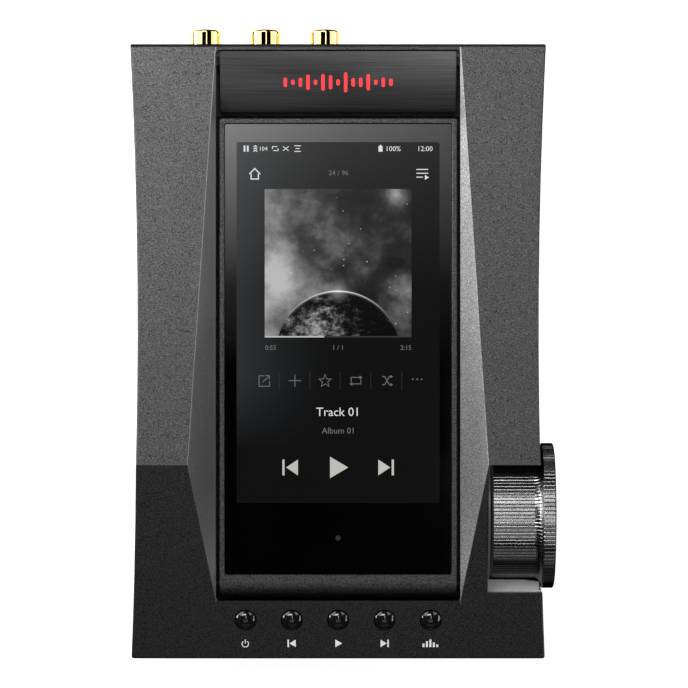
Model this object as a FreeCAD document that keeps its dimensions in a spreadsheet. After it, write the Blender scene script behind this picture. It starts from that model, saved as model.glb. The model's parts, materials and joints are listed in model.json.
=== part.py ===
"""Desktop digital audio player with a tilting display, a side volume wheel and five front keys.

Millimetres. +Z up, +Y towards the rear sockets, +X to the user's right.
The origin is the centre of the base pad's underside, on the desk.
"""

import FreeCAD
import Part

import math
import os
import re

import Sketcher

Vector = FreeCAD.Vector
Rotation = FreeCAD.Rotation

# ---------------------------------------------------------------- driving dimensions

DIMENSIONS = {
    # plan outline shared by the two shells: concave sides through three points
    "cover_front_y": -76.15,
    "cover_rear_y": 74.91,
    "housing_front_y": -76.15,
    "housing_rear_y": 75.7,
    "front_half_width": 51.2,
    "waist_half_width": 49.1,
    "rear_half_width": 51.25,
    "waist_y": -2.0,
    "corner_radius": 0.6,
    "wall": 2.2,
    # heights
    "pad_height": 1.2,
    "floor_thickness": 2.2,
    "split_z": 19.0,
    "rim_z": 33.5,
    "peak_z": 44.0,
    "ridge_y": -27.83,
    "slope_angle": 17.33,
    "facet_rise": 1.59,
    "edge_break": 0.35,
    "seam_chamfer": 0.25,
    "bottom_chamfer": 3.0,
    # display well and accent strip opening
    "well_half_width": 30.1,
    "well_front_y": -61.6,
    "well_rear_y": 74.3,
    "well_corner": 0.9,
    "flat_underside_half": 33.0,
    # display module
    "frame_half_width": 29.35,
    "frame_rear_y": 57.4,
    "hinge_y": -57.3,
    "hinge_z": 29.7,
    "hinge_radius": 3.7,
    "glass_half_width": 28.02,
    "glass_front_y": -55.05,
    "glass_rear_y": 56.1,
    "glass_thickness": 1.1,
    "glass_recess": 0.12,
    "glass_corner": 0.7,
    "frame_inner_half": 26.9,
    "frame_cavity_front_y": -53.5,
    "frame_cavity_rear_y": 55.0,
    "back_plate": 1.2,
    "lcd_half_width": 26.3,
    "lcd_front_y": -41.0,
    "lcd_rear_y": 53.6,
    "lcd_thickness": 2.4,
    "pin_radius": 1.0,
    "pin_running_gap": 0.03,
    "pin_inner_x": 23.0,
    "pin_outer_x": 33.6,
    # well tray and hinge brackets
    "tray_inner_half": 30.2,
    "tray_outer_half": 31.3,
    "tray_floor_z": 23.6,
    "tray_floor_top": 24.8,
    "tray_top_z": 31.0,
    "tray_rear_y": 58.2,
    "bracket_inner_x": 31.4,
    "bracket_outer_x": 33.6,
    "bracket_foot_x": 22.0,
    # accent strip behind the display
    "strip_half_width": 29.25,
    "strip_front_y": 58.9,
    "strip_rear_y": 74.05,
    "strip_top_z": 33.25,
    "strip_curve": 34.0,
    "strip_thickness": 1.5,
    "lens_y": 66.3,
    "lens_pitch": 1.86,
    "lens_bar_width": 0.8,
    "lens_bar_height": 4.9,
    "lens_bars": 15,
    # volume wheel
    "wheel_y": -40.75,
    "wheel_z": 27.5,
    "wheel_barrel_radius": 15.4,
    "wheel_flange_radius": 17.95,
    "wheel_flare": 2.1,
    "wheel_inner_x": 37.6,
    "flange_inner_x": 50.2,
    "wheel_outer_x": 53.4,
    "wheel_dome_radius": 1200.0,
    "wheel_land_x": 49.75,
    "cavity_x": 36.8,
    "cavity_radius": 15.9,
    "ledge_front_y": -59.6,
    "ledge_z": 28.5,
    "block_x": 34.8,
    "block_front_y": -62.5,
    "block_rear_y": -24.0,
    "block_floor_z": 8.8,
    "shaft_radius": 3.0,
    "shaft_inner_x": 32.2,
    "shaft_outer_x": 49.0,
    "encoder_rear_x": 31.6,
    "encoder_half": 6.5,
    "encoder_top_z": 31.0,
    # front keys
    "key_y": -66.4,
    "key_pitch": 11.43,
    "key_radius": 2.4,
    "key_gap": 0.1,
    "key_dome_radius": 3.1,
    "key_flange_radius": 2.95,
    "key_stem_radius": 1.1,
    # rear sockets
    "rear_panel_y": 72.7,
    "rear_panel_thickness": 2.0,
    "socket_z": 17.5,
    "rca_first_x": -33.1,
    "rca_pitch": 14.92,
    "rca_radius": 3.95,
    "rca_bore": 3.0,
    "rca_neck": 3.6,
    "rca_tip_y": 80.35,
    "balanced_first_x": 10.0,
    "balanced_pitch": 14.0,
    "usb_x": 36.0,
    "usb_z": 21.5,
    "digital_z": 12.0,
    # front sockets
    "front_panel_face_y": -75.35,
    "opening_low_z": 5.8,
    "opening_high_z": 24.8,
    "jack_z": 15.3,
    "jack_large_x": -28.5,
    "jack_mini_x": -8.0,
    "jack_micro_x": 7.5,
    "jack_pentaconn_x": 25.0,
    "jack_large_r": 3.25,
    "jack_mini_r": 1.8,
    "jack_micro_r": 1.3,
    "jack_pentaconn_r": 2.25,
    # boards, battery and fixings
    "board_half_width": 40.5,
    "board_front_y": -22.0,
    "board_rear_y": 56.0,
    "board_thickness": 1.6,
    "main_board_z": 12.4,
    "amp_board_z": 17.6,
    "standoff_x": 37.5,
    "standoff_front_y": -19.0,
    "standoff_rear_y": 53.0,
    "standoff_radius": 2.4,
    "battery_half_width": 33.0,
    "battery_front_y": -38.0,
    "battery_rear_y": 44.0,
    "battery_height": 8.0,
    "boss_corner_x": 44.2,
    "boss_middle_x": 42.6,
    "boss_y": 66.0,
    "boss_radius": 3.0,
    "screw_radius": 1.5,
    "screw_top_z": 25.0,
    "pad_half_width": 39.0,
    "pad_half_length": 64.0,
    "pad_corner": 6.0,
}

doc = FreeCAD.newDocument("audio_player")
sheet = doc.addObject("Spreadsheet::Sheet", "Dims")
for row, (alias, number) in enumerate(DIMENSIONS.items(), start=1):
    cell = "A%d" % row
    sheet.set(cell, str(number))
    sheet.setAlias(cell, alias)
doc.recompute()

SUB_PARTS = []


# ---------------------------------------------------------------- small builders

def ex(text):
    """An expression in sheet aliases, with each alias given its sheet's name."""
    words = r"\b[a-z][a-z_]*\b"
    return re.sub(words, lambda m: "Dims." + m[0] if m[0] in DIMENSIONS else m[0], str(text))


def value(text):
    """The number that an expression in sheet aliases stands for."""
    functions = {
        "tan": lambda a: math.tan(math.radians(a)),
        "sin": lambda a: math.sin(math.radians(a)),
        "cos": lambda a: math.cos(math.radians(a)),
        "sqrt": math.sqrt,
    }
    tokens = re.findall(r"[a-z][a-z_]*|\d+\.?\d*|\*\*|[-+*/()]", str(text))
    return work_out(tokens, functions)


def work_out(tokens, functions):
    """Works out a list of tokens: numbers, aliases, functions, brackets and + - * /."""
    position = [0]

    def peek():
        return tokens[position[0]] if position[0] < len(tokens) else None

    def take():
        position[0] += 1
        return tokens[position[0] - 1]

    def atom():
        token = take()
        if token == "-":
            return -atom()
        if token == "(":
            inner = total()
            take()
            return inner
        if token in functions:
            take()
            inner = total()
            take()
            return functions[token](inner)
        return float(DIMENSIONS.get(token, token))

    def product():
        result = atom()
        while peek() in ("*", "/"):
            result = result * atom() if take() == "*" else result / atom()
        return result

    def total():
        result = product()
        while peek() in ("+", "-"):
            result = result + product() if take() == "+" else result - product()
        return result

    return total()


def bind(obj, **properties):
    """Binds properties to expressions. A double underscore stands for a dot."""
    for path, text in properties.items():
        obj.setExpression(path.replace("__", "."), ex(text))
    return obj


def place(obj, x="0", y="0", z="0", rotation=None):
    """Binds where obj's own origin goes, after turning it."""
    obj.Placement = FreeCAD.Placement(Vector(), rotation or Rotation())
    return bind(obj, Placement__Base__x=x, Placement__Base__y=y, Placement__Base__z=z)


def sub_part(obj, label):
    """Marks obj as a piece of the product, exported under this name."""
    obj.Label = label
    SUB_PARTS.append(obj)
    return obj


def box(name, x, y, z):
    """A block between pairs of expressions along each axis."""
    obj = doc.addObject("Part::Box", name)
    bind(
        obj,
        Length="(%s) - (%s)" % (x[1], x[0]),
        Width="(%s) - (%s)" % (y[1], y[0]),
        Height="(%s) - (%s)" % (z[1], z[0]),
    )
    return place(obj, x[0], y[0], z[0])


TURNS = {
    "X": Rotation(Vector(0, 1, 0), 90),
    "Y": Rotation(Vector(1, 0, 0), -90),
    "Z": Rotation(),
}


def cylinder(name, radius, start, length, axis="Z"):
    """A cylinder that starts at a point and runs along +axis."""
    obj = doc.addObject("Part::Cylinder", name)
    bind(obj, Radius=radius, Height=length)
    return place(obj, *start, rotation=TURNS[axis])


def cone(name, radii, start, length, axis="Z"):
    """A frustum from radii[0] at start to radii[1] at its far end."""
    obj = doc.addObject("Part::Cone", name)
    bind(obj, Radius1=radii[0], Radius2=radii[1], Height=length)
    return place(obj, *start, rotation=TURNS[axis])


def fuse(name, *parts):
    obj = doc.addObject("Part::MultiFuse", name)
    obj.Shapes = list(parts)
    return obj


def cut(name, base, *tools):
    obj = doc.addObject("Part::Cut", name)
    obj.Base = base
    obj.Tool = tools[0] if len(tools) == 1 else fuse(name + "_tools", *tools)
    return obj


def common(name, *parts):
    obj = doc.addObject("Part::MultiCommon", name)
    obj.Shapes = list(parts)
    return obj


def group(name, *parts):
    """Separate solids that share one node."""
    obj = doc.addObject("Part::Compound", name)
    obj.Links = list(parts)
    return obj


def edges_where(shape, test):
    """Indices, from 1, of the edges whose bounding box passes the test."""
    return [i for i, edge in enumerate(shape.Edges, start=1) if test(edge.BoundBox)]


def chamfer(name, base, size, test):
    """Breaks the edges of base that pass the test."""
    doc.recompute()
    obj = doc.addObject("Part::Chamfer", name)
    obj.Base = base
    width = value(size)
    obj.Edges = [(i, width, width) for i in edges_where(base.Shape, test)]
    return obj


def fillet(name, base, size, test):
    """Rounds the edges of base that pass the test."""
    doc.recompute()
    obj = doc.addObject("Part::Fillet", name)
    obj.Base = base
    radius = value(size)
    obj.Edges = [(i, radius, radius) for i in edges_where(base.Shape, test)]
    return obj


def upright(bounds):
    """True for an edge that runs only along Z."""
    return bounds.XLength < 1e-4 and bounds.YLength < 1e-4


# ---------------------------------------------------------------- sketches and bodies

def origin_plane(body, role):
    return next(f for f in body.Origin.OriginFeatures if f.Role == role)


def sketch_on(body, role, name, offset="0"):
    """An empty sketch on one of the body's own planes, offset along its normal."""
    sketch = body.newObject("Sketcher::SketchObject", name)
    sketch.AttachmentSupport = [(origin_plane(body, role), "")]
    sketch.MapMode = "FlatFace"
    sketch.setExpression("AttachmentOffset.Base.z", ex(offset))
    return sketch


def pin_point(sketch, geometry, end, point):
    """Holds one point of the sketch at a pair of expressions."""
    for kind, text in zip(("DistanceX", "DistanceY"), point):
        number = value(text)
        if abs(number) < 1e-9:
            on_axis = -2 if kind == "DistanceX" else -1
            sketch.addConstraint(Sketcher.Constraint("PointOnObject", geometry, end, on_axis))
            continue
        index = sketch.addConstraint(
            Sketcher.Constraint(kind, -1, 1, geometry, end, number)
        )
        sketch.setExpression("Constraints[%d]" % index, ex(text))


def add_arc(sketch, first, middle, last):
    """Adds an arc, anticlockwise, and returns which of its ends are first and last."""
    if (middle - first).cross(last - middle).z > 0:
        sketch.addGeometry(Part.Arc(first, middle, last), False)
        return 1, 2
    sketch.addGeometry(Part.Arc(last, middle, first), False)
    return 2, 1


def outline(sketch, points, arcs=None):
    """A closed outline through points, each a pair of expressions.

    arcs says which stretches are arcs: {index of its first point: a point on the arc}.
    """
    arcs = arcs or {}
    count = len(points)
    at = [Vector(value(u), value(v), 0) for u, v in points]
    ends = []
    for i in range(count):
        first, last = at[i], at[(i + 1) % count]
        if i in arcs:
            ends.append(add_arc(sketch, first, Vector(*(value(c) for c in arcs[i]), 0), last))
        else:
            sketch.addGeometry(Part.LineSegment(first, last), False)
            ends.append((1, 2))
    for i in range(count):
        after = (i + 1) % count
        sketch.addConstraint(
            Sketcher.Constraint("Coincident", i, ends[i][1], after, ends[after][0])
        )
        pin_point(sketch, i, ends[i][0], points[i])
    for i, point in arcs.items():
        helper = sketch.addGeometry(Part.Point(Vector(*(value(c) for c in point), 0)), True)
        pin_point(sketch, helper, 1, point)
        sketch.addConstraint(Sketcher.Constraint("PointOnObject", helper, 1, i))
    return sketch


def pad(body, sketch, name, length, midplane=False, reverse=False):
    feature = body.newObject("PartDesign::Pad", name)
    feature.Profile = sketch
    feature.Midplane = midplane
    feature.Reversed = reverse
    bind(feature, Length=length)
    return feature


def pocket(body, sketch, name, length, midplane=False, reverse=False):
    feature = body.newObject("PartDesign::Pocket", name)
    feature.Profile = sketch
    feature.Midplane = midplane
    feature.Reversed = reverse
    bind(feature, Length=length)
    return feature


def revolution(name, plane, points, axis, arcs=None):
    """A body turned about one axis of its own origin, from a half profile."""
    body = doc.addObject("PartDesign::Body", name)
    sketch = outline(sketch_on(body, plane, name + "_profile"), points, arcs)
    feature = body.newObject("PartDesign::Revolution", name + "_turned")
    feature.Profile = sketch
    feature.ReferenceAxis = (sketch, [axis])
    feature.Angle = 360
    return body


def prism(name, plane, points, offset, length, arcs=None, midplane=False):
    """A body with one padded outline."""
    body = doc.addObject("PartDesign::Body", name)
    sketch = outline(sketch_on(body, plane, name + "_outline", offset), points, arcs)
    pad(body, sketch, name + "_pad", length, midplane)
    return body


def rounded_plate(name, x, y, z, corner):
    """A block with its four upright edges rounded."""
    return fillet(name, box(name + "_block", x, y, z), corner, upright)


# ---------------------------------------------------------------- shells

ROOF_TOP = "60"


def plan_points(front_y, rear_y, inset="0"):
    """The shells' plan outline and its two concave sides, moved in by inset."""
    front = "(%s + %s)" % (front_y, inset)
    rear = "(%s - %s)" % (rear_y, inset)
    points = [
        ("-(front_half_width - %s)" % inset, front),
        ("front_half_width - %s" % inset, front),
        ("rear_half_width - %s" % inset, rear),
        ("-(rear_half_width - %s)" % inset, rear),
    ]
    arcs = {
        1: ("waist_half_width - %s" % inset, "waist_y"),
        3: ("-(waist_half_width - %s)" % inset, "waist_y"),
    }
    return points, arcs


def roof_profile(lowered):
    """The space above the roof seen from the side: rear plane, ridge, front slope."""
    rear_y, front_y = "(cover_rear_y + 6)", "(cover_front_y - 6)"
    rear_fall = "(peak_z - rim_z) / (cover_rear_y + 1.5 - ridge_y) * (%s - ridge_y)" % rear_y
    front_fall = "(ridge_y - %s) * tan(slope_angle)" % front_y
    return [
        (rear_y, "peak_z - %s - %s" % (rear_fall, lowered)),
        (rear_y, ROOF_TOP),
        (front_y, ROOF_TOP),
        (front_y, "peak_z - %s - %s" % (front_fall, lowered)),
        ("ridge_y", "peak_z - %s" % lowered),
    ]


def valley_profile(half_width, lowered):
    """The space above the two inner facets and the level rim, seen from the front."""
    reach = "60"
    rise = "(%s - %s) * facet_rise" % (reach, half_width)
    return [
        ("-" + reach, "rim_z + %s - %s" % (rise, lowered)),
        ("-(%s)" % half_width, "rim_z - %s" % lowered),
        (half_width, "rim_z - %s" % lowered),
        (reach, "rim_z + %s - %s" % (rise, lowered)),
        (reach, "90"),
        ("-" + reach, "90"),
    ]


def roofed_block(name, inset, base_z, lowered):
    """The upper shell's plan, or its hollow's, under the rear plane and the front slope."""
    body = doc.addObject("PartDesign::Body", name)
    points, arcs = plan_points("cover_front_y", "cover_rear_y", inset)
    plan = outline(sketch_on(body, "XY_Plane", name + "_plan", base_z), points, arcs)
    pad(body, plan, name + "_block", "50 - (%s)" % base_z)
    roof = outline(sketch_on(body, "YZ_Plane", name + "_roof"), roof_profile(lowered))
    pocket(body, roof, name + "_roof_cut", "140", midplane=True)
    return body


def valley(name, half_width, lowered):
    """The space between the two inner facets, down to the level rim."""
    points = valley_profile(half_width, lowered)
    return prism(name, "XZ_Plane", points, "0", "190", midplane=True)


def wheel_land():
    """The flat round land on the right side that the wheel's flange runs against."""
    disc = cylinder(
        "land_disc",
        "wheel_flange_radius",
        ("wheel_land_x - 5", "wheel_y", "wheel_z"),
        "5",
        "X",
    )
    above = prism("land_roof", "YZ_Plane", roof_profile("0"), "0", "140", midplane=True)
    land = cut("wheel_land", disc, above)
    span = (("block_x - 1", "60"), ("-80", "0"))
    upper = common("land_upper", land, box("land_upper_box", *span, ("split_z", "60")))
    lower = common("land_lower", land, box("land_lower_box", *span, ("0", "split_z")))
    return upper, lower


def wheel_cavity():
    """The recess for the wheel: a round trough, open upwards, with a level ledge in front."""
    trough = cylinder(
        "cavity_trough",
        "cavity_radius",
        ("cavity_x", "wheel_y", "wheel_z"),
        "20",
        "X",
    )
    opening = box(
        "cavity_opening",
        ("cavity_x", "cavity_x + 20"),
        ("ledge_front_y", "ridge_y"),
        ("ledge_z", ROOF_TOP),
    )
    flare = cone(
        "cavity_flare",
        ("cavity_radius", "cavity_radius + 0.5"),
        ("wheel_land_x - 3.8", "wheel_y", "wheel_z"),
        "3.9",
        "X",
    )
    flange_room = cylinder(
        "cavity_flange_room",
        "wheel_flange_radius + 0.5",
        ("wheel_land_x", "wheel_y", "wheel_z"),
        "10",
        "X",
    )
    return fuse("wheel_cavity", trough, opening, flare, flange_room)


def boss_places():
    """Where the six housing screws stand."""
    rows = (("boss_corner_x", "-boss_y"), ("boss_middle_x", "0"), ("boss_corner_x", "boss_y"))
    return [(sign + x, y) for sign in ("-", "") for x, y in rows]


def columns(name, radius, z0, z1):
    """One upright cylinder at each housing screw."""
    made = [
        cylinder("%s_%d" % (name, i), radius, (x, y, z0), "(%s) - (%s)" % (z1, z0))
        for i, (x, y) in enumerate(boss_places(), start=1)
    ]
    return fuse(name, *made)


def front_opening(name):
    """Room in the front wall for the headphone sockets' panel."""
    return box(name, ("-38", "38"), ("-90", "-70"), ("opening_low_z", "opening_high_z"))


def rear_opening(name):
    """Room in the rear wall for the rear sockets' panel."""
    return box(name, ("-45", "46"), ("70", "90"), ("6", "29"))


def slope_frame(x, y):
    """A placement on the front slope, with its Z axis square to the slope."""
    height = "peak_z - (ridge_y - (%s)) * tan(slope_angle)" % y
    origin = Vector(value(x), value(y), value(height))
    return FreeCAD.Placement(origin, Rotation(Vector(1, 0, 0), DIMENSIONS["slope_angle"]))


KEY_NAMES = ["power_key", "previous_key", "play_key", "next_key", "amplifier_key"]


def key_places():
    """Each key's name and its X expression, left to right."""
    return [(name, "key_pitch * (%d)" % (i - 2)) for i, name in enumerate(KEY_NAMES)]


def on_slope(obj, x, y="key_y", offset=0.0):
    """Stands obj on the front slope, offset along the slope's normal."""
    frame = slope_frame(x, y)
    lift = frame.Rotation.multVec(Vector(0, 0, offset))
    obj.Placement = FreeCAD.Placement(frame.Base + lift, frame.Rotation)
    height = "peak_z - (ridge_y - (%s)) * tan(slope_angle)" % y
    bind(
        obj,
        Placement__Base__x=x,
        Placement__Base__y="%s - sin(slope_angle) * (%s)" % (y, offset),
        Placement__Base__z="%s + cos(slope_angle) * (%s)" % (height, offset),
    )
    return obj


def key_holes():
    """The five holes in the front slope, each with a broken edge."""
    holes = []
    for name, x in key_places():
        hole = doc.addObject("Part::Cylinder", name + "_hole")
        bind(hole, Radius="key_radius + key_gap", Height="8")
        holes.append(on_slope(hole, x, offset=-6.0))
        edge = doc.addObject("Part::Cone", name + "_hole_edge")
        bind(edge, Radius1="key_radius + key_gap", Radius2="key_radius + key_gap + 0.5")
        bind(edge, Height="0.5")
        holes.append(on_slope(edge, x, offset=-0.25))
    return holes


def key_board_bosses():
    """Two posts under the front slope that the key board is screwed to."""
    posts = []
    for side in ("-", ""):
        post = doc.addObject("Part::Cylinder", "key_post" + (side and "_left" or "_right"))
        bind(post, Radius="1.8", Height="4.6")
        posts.append(on_slope(post, side + "28.6", offset=-6.0))
    return posts


def well_opening():
    """The rectangular opening that the display and the accent strip lie in."""
    return rounded_plate(
        "well_opening",
        ("-well_half_width", "well_half_width"),
        ("well_front_y", "well_rear_y"),
        ("split_z", "rim_z + 10"),
        "well_corner",
    )


def well_lip():
    """A broken edge where the front slope drops into the well."""
    return prism(
        "well_lip",
        "YZ_Plane",
        [
            ("well_front_y + 0.5", "rim_z - 0.85"),
            ("well_front_y + 0.5", "rim_z + 0.2"),
            ("well_front_y - 0.4", "rim_z + 0.2"),
            ("well_front_y - 0.4", "rim_z + 0.05"),
        ],
        "0",
        "2 * (well_half_width - 0.5)",
        midplane=True,
    )


def well_sill():
    """A narrow ledge at the well's rear that closes the gap above the rear sockets."""
    return box(
        "well_sill",
        ("-well_half_width - 0.5", "well_half_width + 0.5"),
        ("rear_panel_y + 0.1", "well_rear_y + 0.3"),
        ("29.1", "31.2"),
    )


def make_top_cover(cavity, land):
    outer = roofed_block("cover_outer", "0", "split_z", "0")
    doc.recompute()
    broken = chamfer("cover_edges", outer, "edge_break", is_roof_outline)
    corners = fillet("cover_corners", broken, "corner_radius", is_front_corner)
    seam = chamfer("cover_seam", corners, "seam_chamfer", is_seam_edge)
    faceted = cut("cover_faceted", seam, valley("cover_valley", "well_half_width", "0"))
    hollow = cut(
        "cover_hollow",
        roofed_block("cover_hollow_block", "wall", "split_z - 1", "wall"),
        valley("hollow_valley", "flat_underside_half", "wall"),
    )
    block = box(
        "cover_wheel_block",
        ("block_x", "60"),
        ("block_front_y", "block_rear_y"),
        ("split_z - 2", "60"),
    )
    bosses = columns("cover_bosses", "boss_radius", "split_z - 2", "peak_z")
    room = cut("cover_room", hollow, block, bosses, *key_board_bosses())
    screw_holes = columns("cover_screw_holes", "screw_radius + 0.05", "split_z - 2", "screw_top_z + 1")
    shell = cut("cover_shell", fuse("cover_solid", faceted, land), room)
    opened = cut("cover_opened", shell, well_opening(), well_lip(), cavity)
    silled = fuse("cover_silled", opened, well_sill())
    cover = cut(
        "cover",
        silled,
        front_opening("front_opening"),
        rear_opening("rear_opening"),
        screw_holes,
        shaft_bore("cover"),
        *key_holes(),
        *key_post_holes(),
    )
    return sub_part(cover, "top_cover")


def key_post_holes():
    """Screw holes in the two key board posts."""
    holes = []
    for side in ("-", ""):
        hole = doc.addObject("Part::Cylinder", "key_post_hole" + (side and "_l" or "_r"))
        bind(hole, Radius="0.85", Height="3.5")
        holes.append(on_slope(hole, side + "28.6", offset=-6.5))
    return holes


def is_outer_corner(b):
    return upright(b) and abs(b.XMin) > 50 and b.ZLength > 5


def is_front_corner(b):
    return is_outer_corner(b) and b.YMin < 0


def is_roof_outline(b):
    """The edges between the roof planes and the outer walls."""
    on_side = b.XLength < 2.5 and abs(b.Center.x) > 49
    on_end = b.YLength < 0.2 and b.Center.y < value("cover_front_y") + 1
    return b.ZMin > value("split_z") + 5 and (on_side or on_end)


def is_seam_edge(b):
    return b.ZLength < 1e-4 and abs(b.ZMin - value("split_z")) < 1e-4 and (
        b.XLength > 20 or b.YLength > 5
    )


def shaft_bore(name):
    """The hole through the wheel block for the wheel's bush."""
    return cylinder(
        name + "_shaft_bore",
        "shaft_radius + 2",
        ("block_x - 1", "wheel_y", "wheel_z"),
        "5",
        "X",
    )


def rear_lip():
    """The housing's thin rear wall, which stands up behind the cover to its rim."""
    wall = box(
        "rear_lip_wall",
        ("-rear_half_width", "rear_half_width"),
        ("cover_rear_y", "housing_rear_y"),
        ("split_z - 1", "rim_z - 0.05"),
    )
    ends = chamfer("rear_lip_ends", wall, "0.3", is_lip_end)
    return chamfer("rear_lip", ends, "0.5", is_lip_top)


def is_lip_end(b):
    return upright(b) and b.YMin > value("cover_rear_y") + 0.1


def is_lip_top(b):
    return b.XLength > 50 and b.YMin > value("cover_rear_y") + 0.1 and b.ZMin > value("split_z")


def make_lower_housing(cavity, land):
    body = doc.addObject("PartDesign::Body", "housing_outer")
    points, arcs = plan_points("housing_front_y", "housing_rear_y")
    plan = outline(sketch_on(body, "XY_Plane", "housing_plan", "pad_height"), points, arcs)
    pad(body, plan, "housing_block", "split_z - pad_height")
    doc.recompute()
    foot = chamfer("housing_foot", body, "bottom_chamfer", is_foot_edge)
    corners = fillet("housing_corners", foot, "corner_radius", is_outer_corner)
    seam = chamfer("housing_seam", corners, "seam_chamfer", is_seam_edge)
    hollow_points, hollow_arcs = plan_points("housing_front_y", "housing_rear_y", "wall")
    hollow = prism(
        "housing_hollow",
        "XY_Plane",
        hollow_points,
        "pad_height + floor_thickness",
        "30",
        hollow_arcs,
    )
    taper = chamfer("housing_hollow_foot", hollow, "2.4", is_hollow_foot)
    block = box(
        "housing_wheel_block",
        ("block_x", "60"),
        ("block_front_y", "block_rear_y"),
        ("block_floor_z", "60"),
    )
    bosses = columns("housing_bosses", "boss_radius + 0.6", "0", "split_z")
    posts = [
        cylinder("jack_post_%d" % i, "2.2", (x, y, "pad_height"), "8.1 - pad_height")
        for i, (x, y) in enumerate(JACK_POSTS, start=1)
    ]
    room = cut("housing_room", taper, block, bosses, *posts)
    counterbores = columns("housing_counterbores", "3.1", "0", "4.6")
    shanks = columns("housing_screw_holes", "screw_radius + 0.2", "0", "split_z + 5")
    recess = rounded_plate(
        "pad_recess",
        ("-pad_half_width - 0.1", "pad_half_width + 0.1"),
        ("-pad_half_length - 0.1", "pad_half_length + 0.1"),
        ("0", "pad_height + 0.6"),
        "pad_corner",
    )
    shell = cut("housing_shell", fuse("housing_solid", seam, land, rear_lip()), room)
    housing = cut(
        "housing",
        cut("housing_opened", shell, cavity),
        front_opening("front_opening_low"),
        rear_opening("rear_opening_low"),
        counterbores,
        shanks,
        recess,
    )
    return sub_part(housing, "lower_housing")


JACK_POSTS = [("-35.5", "-68"), ("-35.5", "-45"), ("33", "-68"), ("31", "-45")]


def is_foot_edge(b):
    return b.ZLength < 1e-4 and abs(b.ZMin - value("pad_height")) < 1e-4


def is_hollow_foot(b):
    floor_z = value("pad_height + floor_thickness")
    return b.ZLength < 1e-4 and abs(b.ZMin - floor_z) < 1e-4


def make_base_pad():
    plate = rounded_plate(
        "pad_plate",
        ("-pad_half_width", "pad_half_width"),
        ("-pad_half_length", "pad_half_length"),
        ("0", "pad_height + 0.6"),
        "pad_corner - 0.1",
    )
    edge = chamfer("base_pad", plate, "0.3", lambda b: b.ZLength < 1e-4 and b.ZMin < 0.01)
    return sub_part(edge, "base_pad")


def make_housing_screws():
    screws = []
    for i, (x, y) in enumerate(boss_places(), start=1):
        head = cylinder("screw_head_%d" % i, "2.8", (x, y, "2.4"), "2.2")
        shank = cylinder("screw_shank_%d" % i, "screw_radius", (x, y, "4.6"), "screw_top_z - 4.6")
        drive = doc.addObject("Part::Prism", "screw_drive_%d" % i)
        drive.Polygon = 6
        bind(drive, Circumradius="1.25", Height="1.2")
        place(drive, x, y, "2.3")
        screws.append(cut("housing_screw_%d" % i, fuse("screw_%d" % i, head, shank), drive))
    return sub_part(group("housing_screws", *screws), "housing_screws")


# ---------------------------------------------------------------- accent strip

def strip_profile(top_z, thickness, front_y, rear_y):
    """A thin shell section that rolls down towards the display: an arc level at its rear."""
    run = "(%s - %s)" % (rear_y, front_y)
    half = "(%s / 2)" % run
    fall = "(strip_curve - sqrt(strip_curve * strip_curve - %s * %s))" % (run, run)
    half_fall = "(strip_curve - sqrt(strip_curve * strip_curve - %s * %s))" % (half, half)
    points = [
        (front_y, "%s - %s" % (top_z, fall)),
        (rear_y, top_z),
        (rear_y, "%s - %s" % (top_z, thickness)),
        (front_y, "%s - %s - %s" % (top_z, fall, thickness)),
    ]
    middle_y = "%s + %s" % (front_y, half)
    arcs = {
        0: (middle_y, "%s - %s" % (top_z, half_fall)),
        2: (middle_y, "%s - %s - %s" % (top_z, half_fall, thickness)),
    }
    return points, arcs


def lens_bar_heights():
    """Bar heights of a plain level pattern: tall in the middle, shorter to the ends."""
    count = int(DIMENSIONS["lens_bars"])
    tallest = DIMENSIONS["lens_bar_height"]
    heights = []
    for i in range(count):
        across = (i - (count - 1) / 2) / ((count - 1) / 2)
        swing = 0.62 + 0.38 * math.cos(i * math.pi * 0.74)
        heights.append(round(tallest * max(0.24, swing * (1 - 0.55 * across * across)), 2))
    return heights


def lens_bars(name, z0, z1):
    """Upright slots or bars in a row across the strip."""
    bars = []
    heights = lens_bar_heights()
    for i, tall in enumerate(heights):
        x = "lens_pitch * (%s)" % (i - (len(heights) - 1) / 2)
        bar = rounded_plate(
            "%s_%d" % (name, i),
            (x + " - lens_bar_width / 2", x + " + lens_bar_width / 2"),
            ("lens_y - %s" % (tall / 2), "lens_y + %s" % (tall / 2)),
            (z0, z1),
            "lens_bar_width / 2 - 0.02",
        )
        bars.append(bar)
    return fuse(name, *bars)


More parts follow.
